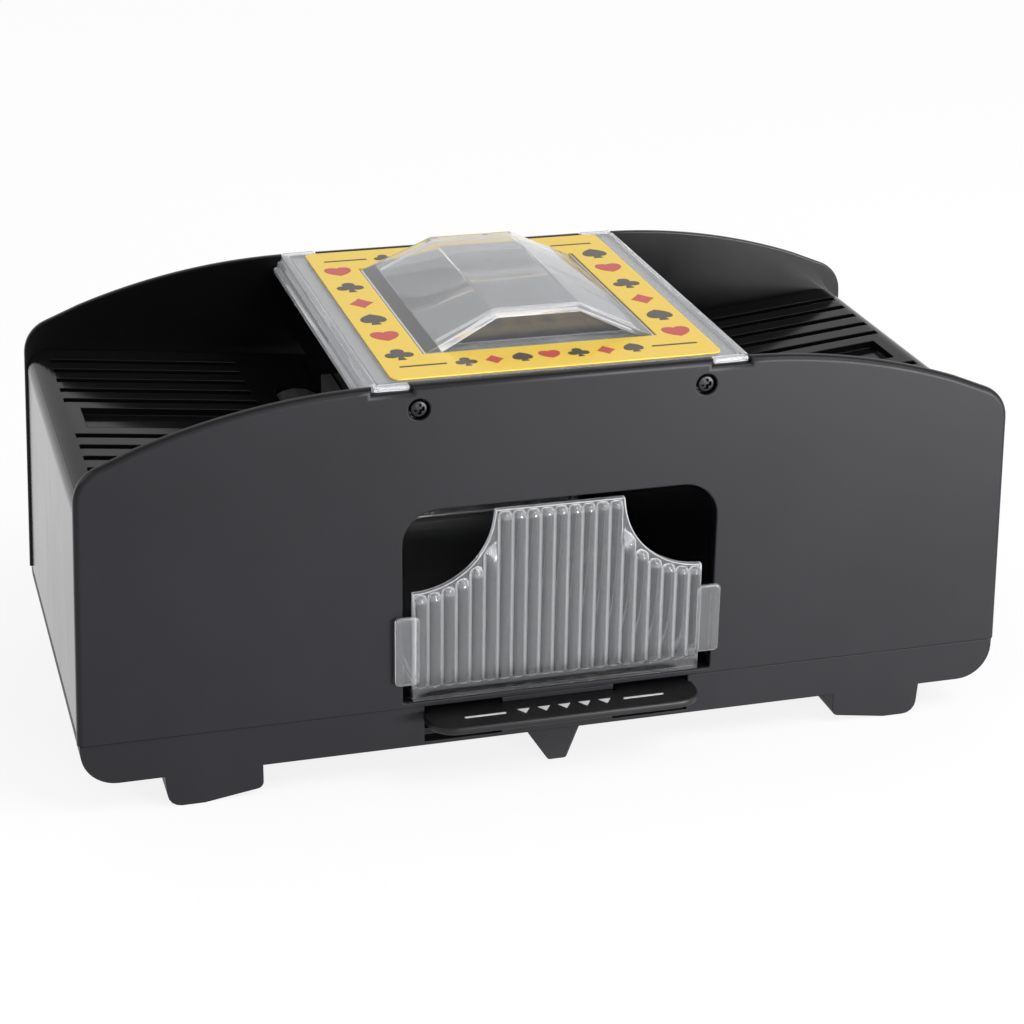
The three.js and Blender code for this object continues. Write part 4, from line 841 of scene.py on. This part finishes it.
def ribbed_front():
    """Front of the drawer on a grid: x across the ribs, and depth below the coved top edge.
    A rib stands out as a half-cylinder whose top is a quarter of a sphere, and ends above a flat foot."""
    pitch = 2 * RIBBED_HALF / RIB_COUNT
    radius = (pitch - sizes().rib_ease / MM) / 2
    middles = -RIBBED_HALF + (np.arange(RIB_COUNT) + 0.5) * pitch
    bend = np.linspace(-math.pi / 2, math.pi / 2, RIB_COLUMNS)
    x = (middles[:, None] + pitch / 2 * np.sin(bend)[None]).reshape(-1)
    top = drawer_top(x * DRAWER_HALF / RIBBED_HALF) - CREST_DROP
    bottom = DRAWER_LOW[2]
    foot = bottom + RIB_FOOT
    depth = np.linspace(0, COVE_BAND, COVE_ROWS)[:, None]
    share = np.linspace(0, 1, LOWER_ROWS)[1:, None]
    lower = (top - COVE_BAND)[None] * (1 - share) + foot * share
    under = np.array((foot - 0.02, bottom))[:, None] + 0 * x[None]
    z = np.concatenate((top[None] - depth, lower, under))
    lowest_top = drawer_top(np.abs(middles) + pitch / 2) - CREST_DROP
    dome = np.repeat(lowest_top - RIB_TOP_GAP - radius, RIB_COLUMNS)
    off = x - np.repeat(middles, RIB_COLUMNS)
    past = np.maximum(0, z - dome[None])
    bump = np.sqrt(np.maximum(0, radius**2 - off[None] ** 2 - past**2))
    bump[-len(under):] = 0.0
    rows, columns = z.shape
    front = np.stack((np.broadcast_to(x + RIBBED_SHIFT, z.shape), DRAWER_FACE - bump, z), -1)
    back = front.copy()
    back[..., 1] = DRAWER_FACE + DRAWER_PLATE
    points = np.concatenate((front.reshape(-1, 3), back.reshape(-1, 3)))
    facing = grid_quads(rows, columns, False)[:, ::-1]
    behind = grid_quads(rows, columns, False, rows * columns)
    ring = np.concatenate((
        np.arange(columns), columns * np.arange(1, rows) + columns - 1,
        (rows - 1) * columns + np.arange(columns - 2, -1, -1), columns * np.arange(rows - 2, 0, -1)))
    other = ring + rows * columns
    rim = np.stack((ring, np.roll(ring, -1), np.roll(other, -1), other), 1)
    faces = np.concatenate((facing, behind, rim))
    smooth = [True] * (len(facing) + len(behind)) + [False] * len(rim)
    return points, faces.tolist(), smooth


class SHUFFLER_OT_drawer(bpy.types.Operator):
    """Clear card drawer: ribbed front, floor, low walls and two stop tabs"""

    bl_idname = "shuffler.drawer"
    bl_label = "Drawer"

    def execute(self, context):
        ease = sizes().clear_ease / MM
        half = DRAWER_HALF - 0.3
        plate_back = DRAWER_FACE + DRAWER_PLATE
        back = DRAWER_HIGH[1]
        low = DRAWER_LOW[2]
        foot = low + 2.52
        inner = half - 1.25
        floor = plate(oblong(-half, half, plate_back + 0.02, back, 0.6), [], low, low + 2.5, ease)
        wall = plate(oblong(half - 1.2, half, plate_back + 0.05, back, 0.4), [], foot, low + 4.5, ease)
        lip = plate(oblong(-inner, inner, back - 1.4, back, 0.4), [], foot, low + 6, ease)
        tab = plate(oblong(*TAB, 1.0), [], -FRONT + 0.3, -FRONT + 1.5, ease, None, 4, STANDING)
        tabs = [moved(part, x=RIBBED_SHIFT) for part in (tab, mirrored(tab))]
        finish = FINISHES["clear_plastic"]
        make_piece("drawer_ribbed_front", [ribbed_front()], finish, "drawer",
                   ["card_drawer"])
        make_piece("drawer_tray", [floor, wall, mirrored(wall), lip], finish, "drawer")
        make_piece("drawer_tabs", tabs, finish, "drawer")
        return {"FINISHED"}


def hood_parts(ease):
    """Prism shell whose ends lean back: a trapezoid profile carried along y, and two end panes."""
    base_x, base_y = HOOD_BASE
    ridge_x, ridge_y = HOOD_RIDGE
    top = COVER_HIGH[2]
    bottom = COVER_PLATE[1]
    slope = (base_x - ridge_x) / (top - bottom)
    inset = HOOD_WALL * math.hypot(1, slope)
    inner_top = top - HOOD_WALL
    inner_ridge = ridge_x + slope * HOOD_WALL - inset
    inner_base = inner_ridge + slope * (inner_top - bottom)
    profile = rounded([
        (-base_x, bottom), (-inner_base, bottom), (-inner_ridge, inner_top, 0.3),
        (inner_ridge, inner_top, 0.3), (inner_base, bottom), (base_x, bottom),
        (ridge_x, top, 0.7), (-ridge_x, top, 0.7)], 4)
    points, faces, smooth = plate(profile, [], -ridge_y, ridge_y, ease, None, 4, STANDING)
    lean = (base_y - ridge_y) / (top - bottom)
    points = points.copy()
    points[:, 1] += np.sign(points[:, 1]) * lean * (top - points[:, 2])
    points[:, 1] += MIDDLE_Y
    pane_face = rounded([
        (-inner_base + 0.1, bottom, 0.1), (inner_base - 0.1, bottom, 0.1),
        (inner_ridge - 0.03, inner_top - 0.03, 0.2), (-inner_ridge + 0.03, inner_top - 0.03, 0.2)], 2)
    setback = ridge_y - GLASS_SETBACK
    pane = plate(pane_face, [], setback - HOOD_WALL, setback, 0.1, None, 2, STANDING)
    front_pane = moved(pane, y=MIDDLE_Y)
    return [(points, faces, smooth), front_pane, mirrored(front_pane, 1, MIDDLE_Y)], inner_base


def cover_skirt():
    """Stepped skirt along one side of the cover, as a profile carried along y."""
    x = COVER_PLATE_HALF
    top = COVER_PLATE[1]
    out = COVER_HIGH[0] - x
    low = COVER_LOW[2]
    half = (COVER_LENGTH_Y - 0.2) / 2
    profile = rounded([
        (x - 1.2, top - 2.0, 0.1), (x - 0.2, top - 2.0, 0.2),
        (x + out - 1.4, low, 0.15), (x + out, low, 0.3),
        (x + out - 0.1, top - 2.8, 0.3), (x + 1.4, top - 2.6, 0.15), (x + 1.2, top - 1.4, 0.3),
        (x + 0.5, top - 1.2, 0.15), (x + 0.2, top, 0.4), (x - 1.2, top, 0.1)], 3)
    return moved(plate(profile, [], -half, half, 0.08, None, 3, STANDING), y=MIDDLE_Y)


class SHUFFLER_OT_cover(bpy.types.Operator):
    """Clear top cover: flat plate with corner tabs, stepped skirts and the raised hood"""

    bl_idname = "shuffler.cover"
    bl_label = "Cover"

    def execute(self, context):
        ease = sizes().clear_ease / MM
        finish = FINISHES["clear_plate"]
        hood, mouth_x = hood_parts(ease)
        half_x = COVER_PLATE_HALF - 1.25
        half_y = COVER_LENGTH_Y / 2
        mouth_y = HOOD_RIDGE[1] - GLASS_SETBACK - HOOD_WALL
        outline = oblong(-half_x, half_x, MIDDLE_Y - half_y, MIDDLE_Y + half_y, 0.8)
        mouth = oblong(-mouth_x + 0.4, mouth_x - 0.4, MIDDLE_Y - mouth_y, MIDDLE_Y + mouth_y, 0.6)
        sheet = plate(outline, [mouth], *COVER_PLATE, ease)
        skirt = cover_skirt()
        tip = FRONT + 0.6
        tab = plate(
            oblong(NOTCH[0] + 0.3, NOTCH[1] - 0.3, tip, MIDDLE_Y - half_y - 0.02, 0.4), [],
            TAB_SEAT_Z, COVER_PLATE[1], ease)
        tabs = [tab, mirrored(tab)]
        tabs += [mirrored(part, 1, MIDDLE_Y) for part in tabs]
        make_piece("cover_plate", [sheet, skirt, mirrored(skirt), *tabs], finish, "cover",
                   ["top_cover"])
        make_piece("cover_hood", hood, FINISHES["clear_hood"], "cover")
        return {"FINISHED"}


LEFT_COLUMN = ("heart", "club", "diamond", "spade", "heart", "club")
RIGHT_COLUMN = ("spade", "heart", "club", "diamond", "spade", "heart")
BAND_ROW = ("club", "diamond", "spade", "heart", "club", "diamond", "spade")


def label_marks():
    """Suits down both columns, and a row of small ones between two lines on each title band."""
    top = LABEL_HIGH[2]
    scale = sizes().suit_width / MM
    column_x = (HOOD_BASE[0] + LABEL_HIGH[0]) / 2 + 0.2
    rows_y = MIDDLE_Y + np.linspace(*SUIT_ROWS, len(LEFT_COLUMN))
    band_x = np.linspace(-BAND_HALF, BAND_HALF, len(BAND_ROW))
    band_y = (HOOD_BASE[1] + (LABEL_HIGH[1] - LABEL_LOW[1]) / 2) / 2
    marks = [(suit, -column_x, y, scale) for suit, y in zip(LEFT_COLUMN, rows_y)]
    marks += [(suit, column_x, y, scale) for suit, y in zip(RIGHT_COLUMN, rows_y)]
    for side in (-1, 1):
        y = MIDDLE_Y + side * band_y
        marks += [(suit, x, y, scale * BAND_SHARE) for suit, x in zip(BAND_ROW, band_x)]
    red, dark = [], []
    for suit, x, y, size in marks:
        part = mark(suit_outline(suit), x, y, size, top)
        (red if suit in ("heart", "diamond") else dark).append(part)
    relief = sizes().print_relief / MM
    for side in (-1, 1):
        y = MIDDLE_Y + side * band_y
        line = plate(oblong(22, 32, y - 0.35, y + 0.35, 0.3), [], top - 0.02, top + relief)
        dark += [line, mirrored(line)]
    return red, dark


class SHUFFLER_OT_label(bpy.types.Operator):
    """Printed label round the hood with its suit marks"""

    bl_idname = "shuffler.label"
    bl_label = "Label"

    def execute(self, context):
        refinish("cover_label")
        red, dark = label_marks()
        make_piece("label_marks_red", red, FINISHES["red_print"], "cover")
        make_piece("label_marks_dark", dark, FINISHES["dark_print"], "cover")
        return {"FINISHED"}


def coil(middle, radius, wire, low, high, turns):
    """Round wire carried up a helix: the angle and the height both grow evenly along its length."""
    share = np.linspace(0, 1, turns * 28 + 1)
    angle = 2 * math.pi * turns * share
    still = np.zeros_like(angle)
    out = np.stack((np.cos(angle), np.sin(angle), still), 1)
    spine = radius * out + np.stack((still + middle[0], still + middle[1], low + (high - low) * share), 1)
    climb = (high - low) / (2 * math.pi * turns * radius)
    along = np.stack((-np.sin(angle), np.cos(angle), still + climb), 1)
    along /= np.linalg.norm(along, axis=1, keepdims=True)
    up = np.cross(along, out)
    around = np.linspace(0, 2 * math.pi, 12, endpoint=False)[None, :, None]
    points = spine[:, None] + wire * (np.cos(around) * out[:, None] + np.sin(around) * up[:, None])
    quads = grid_quads(len(share), 12).tolist()
    last = 12 * (len(share) - 1)
    ends = [list(range(11, -1, -1)), list(range(last, last + 12))]
    return points.reshape(-1, 3), quads + ends, [True] * len(quads) + [False, False]


class SHUFFLER_OT_lever(bpy.types.Operator):
    """Operating lever: rounded pad, two arms, pivot barrel, its down marks and its return spring"""

    bl_idname = "shuffler.lever"
    bl_label = "Lever"

    def execute(self, context):
        top = LEVER_HIGH[2]
        half = LEVER_HIGH[0]
        arm = half - 1.0
        pad_back = FRONT - 0.3
        pivot_y = MIDDLE_Y - 20.0
        plate_front = FRONT + 3.0
        outline = rounded([
            (-half, LEVER_LOW[1], 6), (half, LEVER_LOW[1], 6), (half, pad_back, 0.8), (arm, pad_back),
            (arm, pivot_y), (-arm, pivot_y), (-arm, pad_back), (-half, pad_back, 0.8)], 10)
        gap = oblong(-12.8, 12.8, pad_back, plate_front, 0.3)
        body = plate(outline, [gap], top - LEVER_THICK, top, 0.4, 0.3)
        barrel = turned_profile(
            [(0, -arm), (2.2, -arm), (2.4, -arm + 0.2), (2.4, arm - 0.2), (2.2, arm), (0, arm)],
            (0, pivot_y, BARREL_Z), SIDEWAYS, 24)
        make_piece("lever_body", [body, barrel], FINISHES["black_lever"], "lever",
                   ["operating_lever"])
        arrow = np.array(((-1.0, 0.62), (1.0, 0.62), (0.0, -0.9)))
        y = (LEVER_LOW[1] + pad_back) / 2
        marks = [mark(arrow[::-1], x, y, 1.35, top) for x in (-9.0, -4.5, 0.0, 4.5, 9.0)]
        relief = sizes().print_relief / MM
        line = plate(oblong(13, 22, y - 0.3, y + 0.3, 0.25), [], top - 0.02, top + relief)
        marks += [line, mirrored(line)]
        make_piece("lever_marks", marks, FINISHES["pale_print"], "lever")
        low, high = SPRING_LOW[2], SPRING_HIGH[2]
        radius = (SPRING_HIGH[0] - SPRING_LOW[0]) / 2 - SPRING_WIRE
        middle = ((SPRING_LOW[0] + SPRING_HIGH[0]) / 2, (SPRING_LOW[1] + SPRING_HIGH[1]) / 2)
        turns = coil(middle, radius, SPRING_WIRE, low + SPRING_WIRE, high - SPRING_WIRE, SPRING_TURNS)
        spring = make_piece("lever_spring_coil", [turns], FINISHES["plated_steel"], "housing",
                            ["lever_return_spring"], 60)
        middle[1] * MM
        SPRING_FLAT_AT * MM
        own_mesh(spring)
        return {"FINISHED"}


def screw_head(radius, height, cross):
    """Pan head on a polar grid: a shallow dome less a cross recess, then the rim and a flat back."""
    rings = np.concatenate((np.linspace(0, radius * 0.9, 16), radius * np.array((0.96, 0.99, 1.0))))
    angle = np.linspace(0, 2 * math.pi, 96, endpoint=False)
    r, t = np.meshgrid(rings, angle, indexing="ij")
    x, y = r * np.cos(t), r * np.sin(t)
    out = r / radius
    dome = height - 0.22 * height * out**2 - 0.25 * height * np.clip((out - 0.9) / 0.1, 0, 1) ** 2
    reach = radius * 0.62

    def arm(a, b):
        return np.clip((cross - np.abs(a)) / 0.12, 0, 1) * np.clip((reach - np.abs(b)) / 0.15, 0, 1)

    depth = np.maximum(arm(x, y), arm(y, x)) * height * 0.75
    face = np.stack((x, y, dome - depth), -1)
    rim = np.stack((x[-1], y[-1], np.zeros_like(x[-1])), -1)[None]
    middle = np.zeros_like(rim)
    grid = np.concatenate((face, rim, middle))
    quads = grid_quads(len(grid), len(angle))
    return grid.reshape(-1, 3), quads.tolist(), [True] * len(quads)


class SHUFFLER_OT_fasteners(bpy.types.Operator):
    """Screws in both panels and under the base, with cross recesses"""

    bl_idname = "shuffler.fasteners"
    bl_label = "Fasteners"

    def execute(self, context):
        cross = sizes().screw_cross / MM
        for row in ("front", "rear"):
            for column in ("left", "right"):
                node = f"panel_screw_{row}_{column}"
                self.one(node, STANDING, 1, *PANEL_SCREW, cross, row == "rear", "black_steel")
                node = f"base_screw_{row}_{column}"
                self.one(node, LYING, 2, *BASE_SCREW, cross * BASE_CROSS, True, "plated_steel")
        return {"FINISHED"}

    def one(self, node, way, along, head, shank, cross, flip, slot):
        """A screw along its own axis: a head of the height head, a shank of the radius shank, and a
        pointed tip. With flip, it faces the other way."""
        low, high = span(node)
        radius = (high[0] - low[0]) / 2
        length = high[along] - low[along]
        face = screw_head(radius, head, cross)
        rod = turned_profile([(0, -length + head), (shank, -length + head + 1), (shank, 0.02), (0, 0.02)],
                             (0, 0, 0), LYING, 20)
        parts = [(points @ way, faces, smooth) for points, faces, smooth in (face, rod)]
        place = (low + high) / 2
        if way is STANDING:
            place[1] = low[1] + head
            parts = [moved(part, *place) for part in parts]
            if flip:
                parts = [mirrored(part, 1, low[1] + head) for part in parts]
                parts = [moved(part, y=high[1] - low[1] - 2 * head) for part in parts]
        else:
            parts = [mirrored(part, 2, 0.0) for part in parts]
            place[2] = low[2] + head
            parts = [moved(part, *place) for part in parts]
        make_piece(node + "_crossed", parts, FINISHES[slot], "housing", [node])


PAIRED_PIECES = (
    "hopper", "gate", "retard_pad", "motor", "motor_shaft", "motor_pinion", "idler_gear", "idler_axle",
    "feed_gear", "feed_shaft", "shaft_bush", "feed_roller_inner", "feed_roller_outer",
)
SINGLE_PIECES = (
    "base_tray", "drawer_deck", "battery_door", "lever_pivot_pin", "supply_contact", "motor_contact",
    "shorting_bar", "battery_terminal_plus", "battery_terminal_minus", "battery_bridge_inner",
    "battery_bridge_outer_front", "battery_bridge_outer_rear", "supply_lead", "motor_lead", "return_lead",
)
BATTERY_COUNT = 4
CAD_PIECES = (
    *SINGLE_PIECES,
    *(f"{side}_{piece}" for side in ("left", "right") for piece in PAIRED_PIECES),
    *(f"battery_{number + 1}" for number in range(BATTERY_COUNT)),
)


class SHUFFLER_OT_machine(bpy.types.Operator):
    """Finishes for the base, hoppers, feed units, batteries and wiring"""

    bl_idname = "shuffler.machine"
    bl_label = "Machine"

    def execute(self, context):
        refinish(*CAD_PIECES)
        return {"FINISHED"}


# ------------ stage


def camera():
    place = Vector(CAMERA_PLACE)
    yaw, down, roll = (math.radians(a) for a in CAMERA_TURN)
    look = Vector((math.sin(yaw) * math.cos(down), math.cos(yaw) * math.cos(down), -math.sin(down)))
    right = Vector((math.cos(yaw), -math.sin(yaw), 0))
    below = look.cross(right)
    tilted_right = right * math.cos(roll) - below * math.sin(roll)
    tilted_up = -(right * math.sin(roll) + below * math.cos(roll))
    lens = bpy.data.cameras.new("camera")
    lens.lens = CAMERA_LENS
    lens.sensor_width = CAMERA_SENSOR
    lens.clip_start = 0.01
    seen = bpy.data.objects.new("camera", lens)
    bpy.context.scene.collection.objects.link(seen)
    columns = Matrix((tilted_right, tilted_up, -look)).transposed()
    seen.matrix_world = Matrix.Translation(place) @ columns.to_4x4()
    bpy.context.scene.camera = seen


def lamp(name, place, target, width, height, power):
    light = bpy.data.lights.new(name, "AREA")
    light.shape = "RECTANGLE"
    light.size = width
    light.size_y = height
    light.energy = power
    held = bpy.data.objects.new(name, light)
    held.location = place
    held.rotation_euler = (Vector(target) - Vector(place)).to_track_quat("-Z", "Y").to_euler()
    bpy.context.scene.collection.objects.link(held)
    return held


def floor_finish(colour):
    """Pale floor that keeps a soft shadow, and looks white to the eye and in reflections."""
    finish = Finish("pale_floor")
    speck = finish.noise(40, 2, 0.5)
    finish.set(
        Base_Color=finish.mix(speck * 0.3, rgb(colour), rgb(colour, 0.97)),
        Roughness=0.9,
        Specular_IOR_Level=0.0,
    )
    path = finish.tree.nodes.new("ShaderNodeLightPath")
    seen = Value(finish, path.outputs["Is Camera Ray"]) + Value(finish, path.outputs["Is Glossy Ray"]) * 0.9
    seen = seen + Value(finish, path.outputs["Is Transmission Ray"])
    white = finish.node("ShaderNodeEmission", {}, {"Color": grey(1.0), "Strength": 1.0})
    factor = finish.node("ShaderNodeMath", {"operation": "MULTIPLY", "use_clamp": True}, {0: seen, 1: 0.85})
    return finish.mixed_with(white, factor)


class SHUFFLER_OT_stage(bpy.types.Operator):
    """Pale floor, soft studio light and camera"""

    bl_idname = "shuffler.stage"
    bl_label = "Stage"

    def execute(self, context):
        camera()
        mesh = bpy.data.meshes.new("floor")
        reach = 6.0
        mesh.from_pydata([(-reach, -reach, 0), (reach, -reach, 0), (reach, reach, 0), (-reach, reach, 0)], [],
                         [(0, 1, 2, 3)])
        floor = bpy.data.objects.new("floor", mesh)
        mesh.materials.append(floor_finish(context.scene.shuffler_colours.floor))
        context.scene.collection.objects.link(floor)
        lamp("key_lamp", (0.9, -0.8, 1.4), (0, 0, 0.04), 1.0, 1.0, 18)
        lamp("right_lamp", (0.47, -0.72, 0.06), (0.1, -0.05, 0.04), 0.35, 0.1, 11)
        lamp("side_lamp", (-1.3, 0.3, 1.0), (0, 0, 0.04), 0.8, 0.8, 4)
        world = bpy.data.worlds.new("surround")
        world.use_nodes = True
        context.scene.world = world
        nodes, links = world.node_tree.nodes, world.node_tree.links
        path = nodes.new("ShaderNodeLightPath")
        level = None
        for ray, strength in SURROUND_SEEN:
            pick = nodes.new("ShaderNodeMix")
            pick.data_type = "RGBA"
            pick.inputs[7].default_value = grey(strength)
            links.new(path.outputs[ray], pick.inputs[0])
            if level is None:
                pick.inputs[6].default_value = grey(SURROUND)
            else:
                links.new(level, pick.inputs[6])
            level = pick.outputs[2]
        links.new(level, nodes["Background"].inputs["Color"])
        context.scene.view_settings.view_transform = "Standard"
        return {"FINISHED"}


# ------------ panel and registration

OPERATORS = (
    SHUFFLER_OT_stage, SHUFFLER_OT_machine, SHUFFLER_OT_panels, SHUFFLER_OT_drawer, SHUFFLER_OT_cover,
    SHUFFLER_OT_label, SHUFFLER_OT_lever, SHUFFLER_OT_fasteners,
)


class SHUFFLER_PT_build(bpy.types.Panel):
    """Lists the pieces of the card shuffler"""

    bl_label = "Card shuffler"
    bl_space_type = "VIEW_3D"
    bl_region_type = "UI"
    bl_category = "Shuffler"

    def draw(self, context):
        for operator in OPERATORS:
            self.layout.operator(operator.bl_idname)
        for group in (context.scene.shuffler_sizes, context.scene.shuffler_colours):
            box = self.layout.box()
            for name in group.bl_rna.properties.keys():
                if name not in ("rna_type", "name"):
                    box.prop(group, name)


CLASSES = (ShufflerSizes, ShufflerColours, *OPERATORS, SHUFFLER_PT_build)


def register():
    for made in CLASSES:
        bpy.utils.register_class(made)
    bpy.types.Scene.shuffler_sizes = bpy.props.PointerProperty(type=ShufflerSizes)
    bpy.types.Scene.shuffler_colours = bpy.props.PointerProperty(type=ShufflerColours)


def unregister():
    del bpy.types.Scene.shuffler_colours
    del bpy.types.Scene.shuffler_sizes
    for made in reversed(CLASSES):
        bpy.utils.unregister_class(made)


def main():
    register()
    make_finishes()
    for operator in OPERATORS:
        name = operator.bl_idname.split(".")[1]
        if getattr(bpy.ops.shuffler, name)() != {"FINISHED"}:
            raise RuntimeError(f"{operator.bl_idname} did not finish")


if __name__ == "__main__":
    main()
